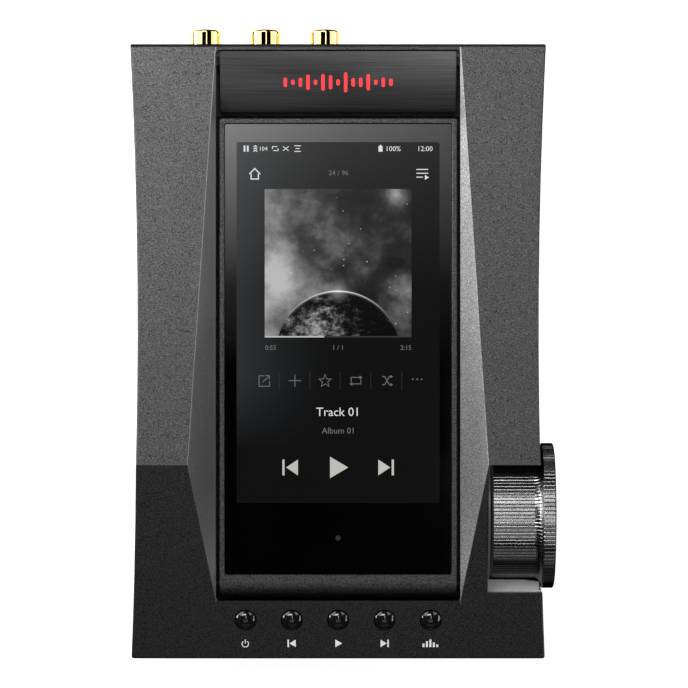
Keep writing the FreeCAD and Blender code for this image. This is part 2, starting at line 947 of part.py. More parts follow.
def make_accent_strip():
    points, arcs = strip_profile("strip_top_z", "strip_thickness", "strip_front_y", "strip_rear_y")
    blank = prism(
        "strip_blank", "YZ_Plane", points, "0", "2 * strip_half_width", arcs, midplane=True
    )
    corners = fillet("strip_corners", blank, "0.6", upright)
    edges = chamfer("strip_edges", corners, "0.15", is_strip_top_edge)
    panel = cut("accent_strip", edges, lens_bars("strip_slots", "25", "40"))
    sub_part(panel, "accent_strip")

    skin = prism("lens_skin", "YZ_Plane", points, "0", "40", arcs, midplane=True)
    bars = common("lens_bars", skin, lens_bars("lens_fill", "25", "40"))
    sub_part(bars, "indicator_lens")

    base = box(
        "carrier_base",
        ("-flat_underside_half + 1", "flat_underside_half - 1"),
        ("strip_front_y + 0.6", "cover_rear_y - 4.5"),
        ("tray_floor_z", "tray_floor_z + 1.8"),
    )
    ribs = [
        prism(
            "carrier_rib_%d" % i,
            "YZ_Plane",
            carrier_rib_points(),
            x,
            "2",
            carrier_rib_arcs(),
        )
        for i, x in enumerate(("-28.4", "-19", "17", "26.4"), start=1)
    ]
    sub_part(fuse("strip_carrier", base, *ribs), "strip_carrier")
    board = box(
        "indicator_plate",
        ("-16", "16"),
        ("lens_y - 4", "lens_y + 4"),
        ("tray_floor_z + 1.8", "tray_floor_z + 2.8"),
    )
    leds = [
        box(
            "indicator_led_%d" % i,
            ("%s - 0.8" % x, "%s + 0.8" % x),
            ("lens_y - 0.8", "lens_y + 0.8"),
            ("tray_floor_z + 2.8", "tray_floor_z + 3.5"),
        )
        for i, x in enumerate(("-12", "-4", "4", "12"), start=1)
    ]
    sub_part(fuse("indicator_fused", board, *leds), "indicator_board")


def carrier_rib_points():
    front, rear = "(strip_front_y + 0.6)", "(cover_rear_y - 4.5)"
    return [
        (front, "tray_floor_z + 1"),
        (front, "strip_top_z - strip_thickness - " + strip_fall(front)),
        (rear, "strip_top_z - strip_thickness - " + strip_fall(rear)),
        (rear, "tray_floor_z + 1"),
    ]


def carrier_rib_arcs():
    middle = "((strip_front_y + 0.6 + cover_rear_y - 4.5) / 2)"
    return {1: (middle, "strip_top_z - strip_thickness - " + strip_fall(middle))}


def strip_fall(y):
    """How far the strip's surface has dropped at y, from its level rear edge."""
    run = "(strip_rear_y - %s)" % y
    return "(strip_curve - sqrt(strip_curve * strip_curve - %s * %s))" % (run, run)


def is_strip_top_edge(b):
    half = value("strip_half_width")
    side = b.XLength < 0.01 and abs(abs(b.Center.x) - half) < 0.01 and b.ZMax > value("strip_top_z") - 0.5
    top_z = value("strip_top_z")
    rear = b.XLength > 40 and b.ZMin > top_z - 0.1 and b.YLength < 0.01
    front_z = top_z - value(strip_fall("strip_front_y"))
    front = b.XLength > 40 and b.YLength < 0.01 and abs(b.ZMin - front_z) < 0.1
    return (side and b.YLength > 5) or rear or front


# ---------------------------------------------------------------- display module

FRAME_TOP = "(hinge_z + hinge_radius)"
FRAME_BACK = "(hinge_z - hinge_radius)"


def make_display_frame():
    body = doc.addObject("PartDesign::Body", "frame_blank")
    side = sketch_on(body, "YZ_Plane", "frame_side")
    outline(
        side,
        [
            ("hinge_y", FRAME_BACK),
            ("frame_rear_y", FRAME_BACK),
            ("frame_rear_y", FRAME_TOP),
            ("hinge_y", FRAME_TOP),
        ],
        {3: ("hinge_y - hinge_radius", "hinge_z")},
    )
    pad(body, side, "frame_slab", "2 * frame_half_width", midplane=True)
    rounded = fillet("frame_corners", body, "0.7", is_frame_corner)
    broken = chamfer("frame_edges", rounded, "0.2", is_frame_edge)
    glass_seat = rounded_plate(
        "glass_seat",
        ("-glass_half_width - 0.04", "glass_half_width + 0.04"),
        ("glass_front_y - 0.04", "glass_rear_y + 0.04"),
        (FRAME_TOP + " - glass_recess - glass_thickness", FRAME_TOP + " + 2"),
        "glass_corner",
    )
    cavity = box(
        "frame_cavity",
        ("-frame_inner_half", "frame_inner_half"),
        ("frame_cavity_front_y", "frame_cavity_rear_y"),
        (FRAME_BACK + " - 2", FRAME_TOP + " + 2"),
    )
    back_seat = box(
        "back_seat",
        ("-frame_inner_half - 1.2", "frame_inner_half + 1.2"),
        ("frame_cavity_front_y - 1", "frame_cavity_rear_y + 1.2"),
        (FRAME_BACK + " - 2", FRAME_BACK + " + back_plate"),
    )
    bores = [
        cylinder(
            "pin_bore_" + side_name,
            "pin_radius",
            (start, "hinge_y", "hinge_z"),
            "pin_outer_x - pin_inner_x",
            "X",
        )
        for side_name, start in (("left", "-pin_outer_x"), ("right", "pin_inner_x"))
    ]
    lip = chamfer(
        "frame_lip",
        cut("frame_open", broken, glass_seat, cavity, back_seat, *bores),
        "0.1",
        is_glass_lip,
    )
    return sub_part(lip, "display_frame")


def is_frame_corner(b):
    return upright(b) and abs(b.Center.y - value("frame_rear_y")) < 0.01


def is_frame_edge(b):
    """Top edges at the sides and the rear, and the round end's rims."""
    half = value("frame_half_width")
    at_side = b.XLength < 1e-4 and abs(abs(b.Center.x) - half) < 0.01
    straight = at_side and b.YLength > 50 and b.ZLength < 1e-4
    round_rim = at_side and b.ZLength > 5 and b.YLength > 2
    rear = b.XLength > 40 and b.ZLength < 1e-4 and b.YMin > 50
    corner = b.XLength < 1.0 and b.YLength < 1.0 and b.ZLength < 1e-4 and b.YMin > 50
    return straight or round_rim or rear or corner


def is_glass_lip(b):
    """The frame's inner top edge, round the glass."""
    level = b.ZLength < 1e-4 and abs(b.ZMin - value(FRAME_TOP)) < 1e-4
    inside_x = abs(b.Center.x) < value("glass_half_width") + 0.1
    inside_y = value("glass_front_y") - 0.1 < b.Center.y < value("glass_rear_y") + 0.1
    return level and inside_x and inside_y and not b.XLength > 58


def make_display_module():
    make_display_frame()
    glass = rounded_plate(
        "glass_plate",
        ("-glass_half_width", "glass_half_width"),
        ("glass_front_y", "glass_rear_y"),
        (FRAME_TOP + " - glass_recess - glass_thickness", FRAME_TOP + " - glass_recess"),
        "glass_corner - 0.04",
    )
    top_z = value(FRAME_TOP) - value("glass_recess")
    edge = chamfer("cover_glass", glass, "0.15", lambda b: b.ZLength < 1e-4 and b.ZMin > top_z - 0.01)
    sub_part(edge, "cover_glass")
    under_glass = FRAME_TOP + " - glass_recess - glass_thickness"
    lcd = box(
        "lcd_module",
        ("-lcd_half_width", "lcd_half_width"),
        ("lcd_front_y", "lcd_rear_y"),
        (under_glass + " - lcd_thickness", under_glass),
    )
    sub_part(lcd, "lcd_module")
    board_top = "(%s - lcd_thickness)" % under_glass
    driver = box(
        "driver_blank",
        ("-24", "24"),
        ("-40", "10"),
        (board_top + " - 0.8", board_top),
    )
    socket = box(
        "driver_socket",
        ("-8", "8"),
        ("-39", "-35"),
        (board_top + " - 1.4", board_top + " - 0.8"),
    )
    sub_part(fuse("display_board_fused", driver, socket), "display_board")
    make_back_cover()
    make_hinge_pins()


def make_back_cover():
    plate = box(
        "back_cover_plate",
        ("-frame_inner_half - 1.15", "frame_inner_half + 1.15"),
        ("frame_cavity_front_y - 0.95", "frame_cavity_rear_y + 1.15"),
        (FRAME_BACK, FRAME_BACK + " + back_plate"),
    )
    slot = box(
        "ribbon_slot",
        ("-9", "9"),
        ("-50", "-47.5"),
        (FRAME_BACK + " - 1", FRAME_BACK + " + back_plate + 1"),
    )
    holes, screws = [], []
    for i, (x, y) in enumerate(BACK_SCREWS, start=1):
        holes.append(
            cylinder("back_screw_hole_%d" % i, "0.8", (x, y, FRAME_BACK + " - 1"), "4")
        )
        holes.append(
            cylinder("back_screw_sink_%d" % i, "1.6", (x, y, FRAME_BACK + " - 1"), "1.6")
        )
        head = cylinder("back_screw_head_%d" % i, "1.5", (x, y, FRAME_BACK), "0.6")
        shank = cylinder("back_screw_shank_%d" % i, "0.75", (x, y, FRAME_BACK + " + 0.6"), "1.4")
        screws.append(fuse("back_screw_%d" % i, head, shank))
    sub_part(cut("back_cover", plate, slot, *holes), "display_back_cover")
    sub_part(group("back_screws", *screws), "back_cover_screws")


BACK_SCREWS = [("-24", "-50"), ("24", "-50"), ("-24", "52.6"), ("24", "52.6")]


def make_hinge_pins():
    pins = []
    for name, start in (("left", "-pin_outer_x"), ("right", "pin_inner_x")):
        pin = cylinder(
            "hinge_pin_" + name,
            "pin_radius",
            (start, "hinge_y", "hinge_z"),
            "pin_outer_x - pin_inner_x",
            "X",
        )
        pins.append(pin)
    return sub_part(group("hinge_pins", *pins), "hinge_pins")


def make_well_tray():
    outside = box(
        "tray_block",
        ("-tray_outer_half", "tray_outer_half"),
        ("well_front_y - 0.75", "tray_rear_y + 1.1"),
        ("tray_floor_z", "tray_top_z"),
    )
    inside = box(
        "tray_room",
        ("-tray_inner_half", "tray_inner_half"),
        ("well_front_y - 0.15", "tray_rear_y"),
        ("tray_floor_top", "tray_top_z + 5"),
    )
    rear_step = box(
        "tray_rear_step",
        ("-tray_outer_half - 1", "tray_outer_half + 1"),
        ("tray_rear_y - 0.5", "tray_rear_y + 5"),
        ("tray_top_z - 3.9", "tray_top_z + 5"),
    )
    slot = box(
        "tray_slot",
        ("-10", "10"),
        ("-50.5", "-47"),
        ("tray_floor_z - 1", "tray_floor_top + 1"),
    )
    pin_clear = cylinder(
        "tray_pin_holes",
        "pin_radius + 0.4",
        ("-tray_outer_half - 1", "hinge_y", "hinge_z"),
        "2 * tray_outer_half + 2",
        "X",
    )
    ribs = [
        box(
            "tray_rib_%d" % i,
            ("-tray_inner_half", "tray_inner_half"),
            ("%s - 0.5" % y, "%s + 0.5" % y),
            ("tray_floor_top", "tray_floor_top + 0.4"),
        )
        for i, y in enumerate(("-30", "-5", "20", "45"), start=1)
    ]
    holes = [
        cylinder("tray_screw_hole_%d" % i, "0.8", (x, y, "tray_floor_z - 1"), "1.9")
        for i, (x, y) in enumerate(hinge_screw_places(), start=1)
    ]
    shell = cut("tray_shell", outside, inside, rear_step, slot, pin_clear, *holes)
    sub_part(fuse("well_tray", shell, *ribs), "display_well_tray")


def hinge_screw_places():
    """Two screws through each bracket's foot."""
    return [(side + "25", y) for side in ("-", "") for y in ("hinge_y - 2", "hinge_y + 5")]


def make_hinge_brackets():
    for name, sign in (("left", -1), ("right", 1)):
        ends = ("bracket_inner_x", "bracket_outer_x")
        foot_ends = ("bracket_foot_x", "bracket_outer_x")
        if sign < 0:
            ends = ("-bracket_outer_x", "-bracket_inner_x")
            foot_ends = ("-bracket_outer_x", "-bracket_foot_x")
        ear = box(
            "bracket_ear_" + name,
            ends,
            ("hinge_y - 4.2", "hinge_y + 7.5"),
            ("tray_floor_z - 1.3", "tray_top_z + 0.1"),
        )
        foot = box(
            "bracket_foot_" + name,
            foot_ends,
            ("hinge_y - 4.2", "hinge_y + 7.5"),
            ("tray_floor_z - 1.3", "tray_floor_z"),
        )
        bore = cylinder(
            "bracket_bore_" + name,
            "pin_radius + pin_running_gap",
            ("-40", "hinge_y", "hinge_z"),
            "80",
            "X",
        )
        holes = [
            cylinder("bracket_hole_%s_%d" % (name, i), "0.8", (x, y, "tray_floor_z - 2"), "4")
            for i, (x, y) in enumerate(hinge_screw_places(), start=1)
        ]
        bracket = cut("bracket_" + name, fuse("bracket_blank_" + name, ear, foot), bore, *holes)
        sub_part(bracket, "hinge_bracket_" + name)
    screws = []
    for i, (x, y) in enumerate(hinge_screw_places(), start=1):
        head = cylinder("hinge_screw_head_%d" % i, "1.5", (x, y, "tray_floor_z - 2.1"), "0.8")
        shank = cylinder("hinge_screw_shank_%d" % i, "0.75", (x, y, "tray_floor_z - 1.3"), "2.1")
        screws.append(fuse("hinge_screw_%d" % i, head, shank))
    sub_part(group("hinge_screws", *screws), "hinge_screws")


# ---------------------------------------------------------------- volume wheel

def across(hypotenuse, side):
    """The third side of a right triangle."""
    return "sqrt((%s) * (%s) - (%s) * (%s))" % (hypotenuse, hypotenuse, side, side)


def dome_x(radius):
    """The wheel's gently domed outer face at a distance from its axis."""
    drop = "(wheel_dome_radius - %s)" % across("wheel_dome_radius", radius)
    return "wheel_outer_x - " + drop


def make_wheel():
    """The wheel, its cap and its shaft, turned about X and then moved to the wheel's axis."""
    flange = "wheel_flange_radius"
    barrel = "wheel_barrel_radius"
    wheel = revolution(
        "wheel_body",
        "XZ_Plane",
        [
            ("wheel_inner_x", "shaft_radius + 0.02"),
            ("wheel_inner_x", barrel + " - 0.6"),
            ("wheel_inner_x + 0.6", barrel),
            ("flange_inner_x - wheel_flare", barrel),
            ("flange_inner_x", barrel + " + wheel_flare"),
            ("flange_inner_x", flange + " - 0.25"),
            ("flange_inner_x + 0.25", flange),
            (dome_x(flange) + " - 0.5", flange),
            (dome_x(flange) + " - 0.05", flange + " - 0.45"),
            (dome_x("13.4"), "13.4"),
            ("wheel_outer_x - 1.6", "13.4"),
            ("wheel_outer_x - 1.6", "6"),
            ("shaft_outer_x", "6"),
            ("shaft_outer_x", "shaft_radius + 0.02"),
        ],
        "H_Axis",
        {3: ("flange_inner_x - wheel_flare * (1 - sqrt(0.5))", barrel + " + wheel_flare * (1 - sqrt(0.5))")},
    )
    place(wheel, "0", "wheel_y", "wheel_z")
    sub_part(wheel, "volume_wheel")
    cap = revolution(
        "cap_body",
        "XZ_Plane",
        [
            ("wheel_outer_x - 1.6", "0"),
            ("wheel_outer_x - 1.6", "13.35"),
            (dome_x("13.35") + " - 0.2", "13.35"),
            (dome_x("13.35") + " - 0.05", "13.2"),
            ("wheel_outer_x", "0"),
        ],
        "H_Axis",
        {3: (dome_x("7"), "7")},
    )
    place(cap, "0", "wheel_y", "wheel_z")
    sub_part(cap, "wheel_cap")
    shaft = cylinder(
        "wheel_shaft_rod",
        "shaft_radius",
        ("shaft_inner_x", "wheel_y", "wheel_z"),
        "shaft_outer_x - shaft_inner_x",
        "X",
    )
    collar = cylinder("wheel_shaft_nut", "5.9", ("shaft_outer_x", "wheel_y", "wheel_z"), "2.6", "X")
    sub_part(fuse("wheel_shaft", shaft, collar), "wheel_shaft")


def make_wheel_supports():
    bush_outer = cylinder(
        "bush_barrel", "shaft_radius + 2", ("block_x", "wheel_y", "wheel_z"), "cavity_x - block_x", "X"
    )
    bush_bore = cylinder(
        "bush_bore", "shaft_radius + 0.04", ("block_x - 1", "wheel_y", "wheel_z"), "8", "X"
    )
    sub_part(cut("wheel_bush", bush_outer, bush_bore), "wheel_bush")
    case = box(
        "encoder_case",
        ("encoder_rear_x", "block_x"),
        ("wheel_y - encoder_half", "wheel_y + encoder_half"),
        ("wheel_z - encoder_half", "encoder_top_z"),
    )
    case = fillet("encoder_round", case, "1.2", lambda b: b.YLength < 1e-4 and b.ZLength < 1e-4)
    pocket_bore = cylinder(
        "encoder_bore", "shaft_radius + 0.1", ("shaft_inner_x - 0.3", "wheel_y", "wheel_z"), "20", "X"
    )
    sub_part(cut("volume_encoder", case, pocket_bore), "volume_encoder")
    ring = cylinder("ring_outer", "cavity_radius - 0.1", ("cavity_x", "wheel_y", "wheel_z"), "0.45", "X")
    hole = cylinder("ring_inner", "13.6", ("cavity_x - 1", "wheel_y", "wheel_z"), "3", "X")
    sub_part(cut("wheel_light_ring", ring, hole), "wheel_light_ring")


# ---------------------------------------------------------------- front keys

def make_keys():
    """Five domed keys with a retaining flange and a stem, square to the front slope."""
    rim = across("key_dome_radius", "key_radius")
    middle = across("key_dome_radius", "key_radius * 0.6")
    for name, x in key_places():
        key = revolution(
            name + "_body",
            "XZ_Plane",
            [
                ("0", "-4.9"),
                ("key_stem_radius", "-4.9"),
                ("key_stem_radius", "-3.3"),
                ("key_flange_radius", "-3.3"),
                ("key_flange_radius", "-2.3"),
                ("key_radius", "-2.3"),
                ("key_radius", "0.25"),
                ("0", "0.25 + key_dome_radius - " + rim),
            ],
            "V_Axis",
            {6: ("key_radius * 0.6", "0.25 + %s - %s" % (middle, rim))},
        )
        sub_part(on_slope(key, x), name)


def make_key_board():
    board = slope_box("key_board_plate", ("-31", "31"), ("-4.4", "1.6"), ("-7.0", "-6.0"))
    cutters, switches, screws = [], [], []
    for side in ("-", ""):
        tag = "left" if side else "right"
        hole = doc.addObject("Part::Cylinder", "key_board_hole_" + tag)
        bind(hole, Radius="0.9", Height="3")
        cutters.append(on_slope(hole, side + "28.6", offset=-8.0))
        head = doc.addObject("Part::Cylinder", "key_board_head_" + tag)
        bind(head, Radius="1.6", Height="0.8")
        shank = doc.addObject("Part::Cylinder", "key_board_shank_" + tag)
        bind(shank, Radius="0.8", Height="3")
        on_slope(head, side + "28.6", offset=-7.8)
        on_slope(shank, side + "28.6", offset=-7.0)
        screws.append(fuse("key_board_screw_" + tag, head, shank))
    sub_part(cut("key_board", board, *cutters), "key_board")
    for name, x in key_places():
        case = slope_box(
            name + "_switch_case",
            ("%s - 2.1" % x, "%s + 2.1" % x),
            ("-2.1", "2.1"),
            ("-6.0", "-4.2"),
        )
        well = doc.addObject("Part::Cylinder", name + "_switch_well")
        bind(well, Radius="key_stem_radius + 0.2", Height="3")
        on_slope(well, x, offset=-5.5)
        switches.append(cut(name + "_switch", case, well))
    sub_part(group("key_switches", *switches), "key_switches")
    return screws


def slope_box(name, x, across, depth):
    """A block in the front slope's own frame, about the row of keys."""
    obj = doc.addObject("Part::Box", name)
    bind(
        obj,
        Length="(%s) - (%s)" % (x[1], x[0]),
        Width="(%s) - (%s)" % (across[1], across[0]),
        Height="(%s) - (%s)" % (depth[1], depth[0]),
    )
    frame = slope_frame("0", "key_y")
    obj.Placement = FreeCAD.Placement(Vector(), frame.Rotation)
    height = "peak_z - (ridge_y - key_y) * tan(slope_angle)"
    bind(
        obj,
        Placement__Base__x=x[0],
        Placement__Base__y="key_y + cos(slope_angle) * (%s) - sin(slope_angle) * (%s)"
        % (across[0], depth[0]),
        Placement__Base__z="%s + sin(slope_angle) * (%s) + cos(slope_angle) * (%s)"
        % (height, across[0], depth[0]),
    )
    return obj


# ---------------------------------------------------------------- rear sockets

def rca_places():
    return ["rca_first_x + rca_pitch * %d" % i for i in range(3)]


def make_rear_panel():
    plate = box(
        "rear_plate",
        ("-46.5", "47.5"),
        ("rear_panel_y - rear_panel_thickness", "rear_panel_y"),
        ("5.3", "30.4"),
    )
    holes = [
        cylinder("rear_hole_rca_%d" % i, "rca_neck + 0.05", (x, "60", "socket_z"), "20", "Y")
        for i, x in enumerate(rca_places(), start=1)
    ]
    holes += [
        cylinder("rear_hole_bal_%d" % i, "5.55", (x, "60", "socket_z"), "20", "Y")
        for i, x in enumerate(balanced_places(), start=1)
    ]
    holes.append(
        cylinder("rear_hole_digital", "2.85", ("usb_x", "60", "digital_z"), "20", "Y")
    )
    holes.append(stadium("rear_hole_usb", "9.1", "3.4", "usb_x", "usb_z", "60", "20"))
    sub_part(cut("rear_panel", plate, *holes), "rear_panel")


def balanced_places():
    return ["balanced_first_x + balanced_pitch * %d" % i for i in range(2)]


def stadium(name, width, height, x, z, y, length):
    """A bar with half-round sides, along +Y."""
    left = "%s - (%s - %s) / 2" % (x, width, height)
    right = "%s + (%s - %s) / 2" % (x, width, height)
    middle = box(
        name + "_middle",
        (left, right),
        (y, "%s + %s" % (y, length)),
        ("%s - %s / 2" % (z, height), "%s + %s / 2" % (z, height)),
    )
    ends = [
        cylinder("%s_end_%d" % (name, i), "%s / 2" % height, (at, y, z), length, "Y")
        for i, at in enumerate((left, right), start=1)
    ]
    return fuse(name, middle, *ends)


def make_rca_sockets():
    shells_y = "rear_panel_y - rear_panel_thickness"
    insulators, contacts = [], []
    for i, x in enumerate(rca_places(), start=1):
        start = (x, "rear_panel_y", "socket_z")
        barrel = cylinder("rca_barrel_%d" % i, "rca_radius", start, "rca_tip_y - rear_panel_y", "Y")
        rounded = fillet("rca_lip_%d" % i, barrel, "0.7", is_rca_lip)
        neck = cylinder(
            "rca_neck_%d" % i, "rca_neck", (x, shells_y, "socket_z"), "rear_panel_thickness", "Y"
        )
        bore = cylinder("rca_bore_%d" % i, "rca_bore", (x, "60", "socket_z"), "30", "Y")
        blank = fuse("rca_blank_%d" % i, rounded, neck)
        sub_part(cut("rca_shell_%d" % i, blank, bore), "rca_shell_%d" % i)
        core = cylinder(
            "rca_core_%d" % i, "rca_bore", (x, shells_y, "socket_z"), "rca_tip_y - 0.6 - (%s)" % shells_y, "Y"
        )
        centre = cylinder("rca_centre_%d" % i, "1.9", (x, "60", "socket_z"), "30", "Y")
        insulators.append(cut("rca_insulator_%d" % i, core, centre))
        tube = cylinder(
            "rca_tube_%d" % i, "1.9", (x, shells_y, "socket_z"), "rca_tip_y - 1.4 - (%s)" % shells_y, "Y"
        )
        hole = cylinder("rca_tube_hole_%d" % i, "1.6", (x, "60", "socket_z"), "30", "Y")
        contacts.append(cut("rca_contact_%d" % i, tube, hole))
    sub_part(group("rca_insulators", *insulators), "rca_insulators")
    sub_part(group("rca_centre_contacts", *contacts), "rca_centre_contacts")
    block = box(
        "rca_block",
        ("rca_first_x - 6", "rca_first_x + 2 * rca_pitch + 6"),
        ("60", shells_y),
        ("11.5", "22.5"),
    )
    sub_part(block, "rca_socket_block")


def is_rca_lip(b):
    return b.YLength < 1e-4 and b.YMin > value("rca_tip_y") - 0.01


def make_balanced_sockets():
    inserts = []
    for name, x in zip(("left", "right"), balanced_places()):
        flange = cylinder("balanced_flange_" + name, "6.6", (x, "rear_panel_y", "socket_z"), "1.1", "Y")
        barrel = cylinder("balanced_barrel_" + name, "5.5", (x, "58", "socket_z"), "15.5", "Y")
        bore = cylinder("balanced_bore_" + name, "4.9", (x, "59", "socket_z"), "30", "Y")
        shell = cut(
            "balanced_shell_" + name, fuse("balanced_blank_" + name, flange, barrel), bore
        )
        edge = chamfer("balanced_edge_" + name, shell, "0.3", is_balanced_edge)
        sub_part(edge, "balanced_socket_" + name)
        core = cylinder("balanced_core_" + name, "4.2", (x, "59", "socket_z"), "14.6", "Y")
        base = cylinder("balanced_base_" + name, "4.9", (x, "59", "socket_z"), "6", "Y")
        key = box(
            "balanced_keyway_" + name,
            ("%s - 0.7" % x, "%s + 0.7" % x),
            ("65", "80"),
            ("socket_z - 4.6", "socket_z - 3.6"),
        )
        offsets = [(aside, up) for aside in ("-1.556", "1.556") for up in ("-1.556", "1.556")]
        holes = [
            cylinder(
                "balanced_hole_%s_%d" % (name, i),
                "0.55",
                ("%s + %s" % (x, aside), "66", "socket_z + " + up),
                "10",
                "Y",
            )
            for i, (aside, up) in enumerate(offsets, start=1)
        ]
        inserts.append(
            cut("balanced_insert_" + name, fuse("balanced_insert_blank_" + name, core, base), key, *holes)
        )
    sub_part(group("balanced_socket_inserts", *inserts), "balanced_socket_inserts")


def is_balanced_edge(b):
    return b.YLength < 1e-4 and b.YMin > value("rear_panel_y + 1.05") and b.XLength > 12


def make_small_rear_sockets():
    shell = stadium("usb_outer", "8.94", "3.26", "usb_x", "usb_z", "66.4", "7.0")
    inside = stadium("usb_inner", "8.34", "2.66", "usb_x", "usb_z", "66.8", "7.0")
    tongue = box(
        "usb_tongue",
        ("usb_x - 3.3", "usb_x + 3.3"),
        ("66.5", "72.6"),
        ("usb_z - 0.35", "usb_z + 0.35"),
    )
    sub_part(fuse("usb_c_socket", cut("usb_shell", shell, inside), tongue), "usb_c_socket")
    nose = cylinder("digital_nose", "2.8", ("usb_x", "70", "digital_z"), "3.6", "Y")
    case = box(
        "digital_case",
        ("usb_x - 3.4", "usb_x + 3.4"),
        ("57.5", "rear_panel_y - rear_panel_thickness"),
        ("digital_z - 3.4", "digital_z + 3.4"),
    )
    bore = cylinder("digital_bore", "jack_mini_r", ("usb_x", "59", "digital_z"), "20", "Y")
    sub_part(cut("digital_input_jack", fuse("digital_blank", nose, case), bore), "digital_input_jack")


# ---------------------------------------------------------------- front sockets

# name, X, bore radius, bore depth, half size of the case behind the panel, nose radius
FRONT_JACKS = [
    ("headphone_jack_6_35mm", "jack_large_x", "jack_large_r", 31.0, 6.0, 5.0),
    ("headphone_jack_3_5mm", "jack_mini_x", "jack_mini_r", 15.5, 4.2, 3.3),
    ("balanced_jack_2_5mm", "jack_micro_x", "jack_micro_r", 12.5, 3.8, 2.8),
    ("balanced_jack_4_4mm", "jack_pentaconn_x", "jack_pentaconn_r", 20.5, 5.2, 4.0),
]


def make_front_jacks():
    board_top = "9.2"
    rings, holes = [], []
    for name, x, radius, depth, half, nose_radius in FRONT_JACKS:
        start = "front_panel_face_y - 0.1"
        nose = cylinder(name + "_nose", str(nose_radius), (x, start, "jack_z"), "5", "Y")
        case = box(
            name + "_case",
            ("%s - %s" % (x, half), "%s + %s" % (x, half)),
            ("-71.3", "front_panel_face_y + %s" % (depth + 1.2)),
            (board_top, "jack_z + %s" % half),
        )
        bore = cylinder(name + "_bore", radius, (x, "-90", "jack_z"), "15 + %s" % depth, "Y")
        sub_part(cut(name, fuse(name + "_blank", nose, case), bore), name)
        ring = cylinder(name + "_ring_outer", str(nose_radius + 0.9), (x, start, "jack_z"), "0.6", "Y")
        inner = cylinder(name + "_ring_inner", str(nose_radius + 0.05), (x, "-90", "jack_z"), "30", "Y")
        rings.append(cut(name + "_ring", ring, inner))
        holes.append(
            cylinder(name + "_panel_hole", str(nose_radius + 0.05), (x, "-90", "jack_z"), "30", "Y")
        )
        holes.append(
            cylinder(name + "_panel_seat", str(nose_radius + 0.95), (x, "-90", "jack_z"), "15.5", "Y")
        )
    sub_part(group("jack_rings", *rings), "jack_rings")
    back = box(
        "front_plate_back",
        ("-39.5", "39.5"),
        ("-73.2", "-71.3"),
        ("opening_low_z - 0.4", "opening_high_z + 1.4"),
    )
    face = box(
        "front_plate_face",
        ("-37.95", "37.95"),
        ("front_panel_face_y", "-72.5"),
        ("opening_low_z + 0.05", "opening_high_z - 0.05"),
    )
    sub_part(cut("front_panel", fuse("front_plate", back, face), *holes), "front_panel")
    board = box("headphone_board", ("-38", "34"), ("-70.8", "-42.5"), ("8.1", "9.2"))
    sub_part(board, "headphone_board")


# ---------------------------------------------------------------- boards and battery

def standoff_places():
    return [
        (side + "standoff_x", y)
        for side in ("-", "")
        for y in ("standoff_front_y", "standoff_rear_y")
    ]


def board_plate(name, z):
    """A board with a hole at each standoff."""
    plate = box(
        name + "_plate",
        ("-board_half_width", "board_half_width"),
        ("board_front_y", "board_rear_y"),
        (z, z + " + board_thickness"),
    )
    holes = [
        cylinder("%s_hole_%d" % (name, i), "1.1", (x, y, z + " - 1"), "4")
        for i, (x, y) in enumerate(standoff_places(), start=1)
    ]
    notch = [
        box(
            "%s_notch_%s" % (name, tag),
            (ends[0], ends[1]),
            ("-4", "4"),
            (z + " - 1", z + " + 3"),
        )
        for tag, ends in (("left", ("-50", "-38.7")), ("right", ("38.7", "50")))
    ]
    return cut(name, plate, *holes, *notch)


def make_boards(key_screws):
    sub_part(board_plate("main_board_cut", "main_board_z"), "main_board")
    sub_part(board_plate("amp_board_cut", "amp_board_z"), "amplifier_board")
    top = "main_board_z + board_thickness"
    shields = [
        rounded_plate("shield_%d" % i, x, y, (top, top + " + 3.2"), "1")
        for i, (x, y) in enumerate(
            [
                (("-30", "-2"), ("-14", "14")),
                (("4", "30"), ("-14", "8")),
                (("-28", "22"), ("22", "46")),
            ],
            start=1,
        )
    ]
    sub_part(group("shield_cans", *shields), "shield_cans")
    amp_top = "amp_board_z + board_thickness"
    cans = [
        cylinder("capacitor_%d_%d" % (i, k), "2.4", (str(x), str(y), amp_top), "2.8")
        for i, x in enumerate((-30, -22, 22, 30))
        for k, y in enumerate((-10, -2, 30, 38))
    ]
    sub_part(group("amplifier_capacitors", *cans), "amplifier_capacitors")
    posts, screws = [], []
    floor_z = "pad_height + floor_thickness"
    for i, (x, y) in enumerate(standoff_places(), start=1):
        lower = cylinder(
            "standoff_low_%d" % i, "standoff_radius", (x, y, floor_z), "main_board_z - (%s)" % floor_z
        )
        upper = cylinder("standoff_high_%d" % i, "standoff_radius", (x, y, top), "amp_board_z - (%s)" % top)
        stud = cylinder("standoff_stud_%d" % i, "1.05", (x, y, "main_board_z"), "board_thickness")
        bore = cylinder("standoff_bore_%d" % i, "1.0", (x, y, "amp_board_z - 4"), "6")
        posts.append(cut("standoff_%d" % i, fuse("standoff_blank_%d" % i, lower, upper, stud), bore))
        head = cylinder("board_screw_head_%d" % i, "2", (x, y, amp_top), "1.1")
        shank = cylinder("board_screw_shank_%d" % i, "0.95", (x, y, "amp_board_z - 3.5"), "5.1")
        screws.append(fuse("board_screw_%d" % i, head, shank))
    sub_part(group("board_standoffs", *posts), "board_standoffs")
    sub_part(group("board_screws", *screws, *key_screws), "board_screws")
    pack = box(
        "battery_block",
        ("-battery_half_width", "battery_half_width"),
        ("battery_front_y", "battery_rear_y"),
        (floor_z, floor_z + " + battery_height"),
    )
    sub_part(fillet("battery_pack", pack, "2", is_battery_side), "battery_pack")


def is_battery_side(b):
    return b.XLength < 1e-4 and b.ZLength < 1e-4 and b.YLength > 50


# ---------------------------------------------------------------- assembly and export

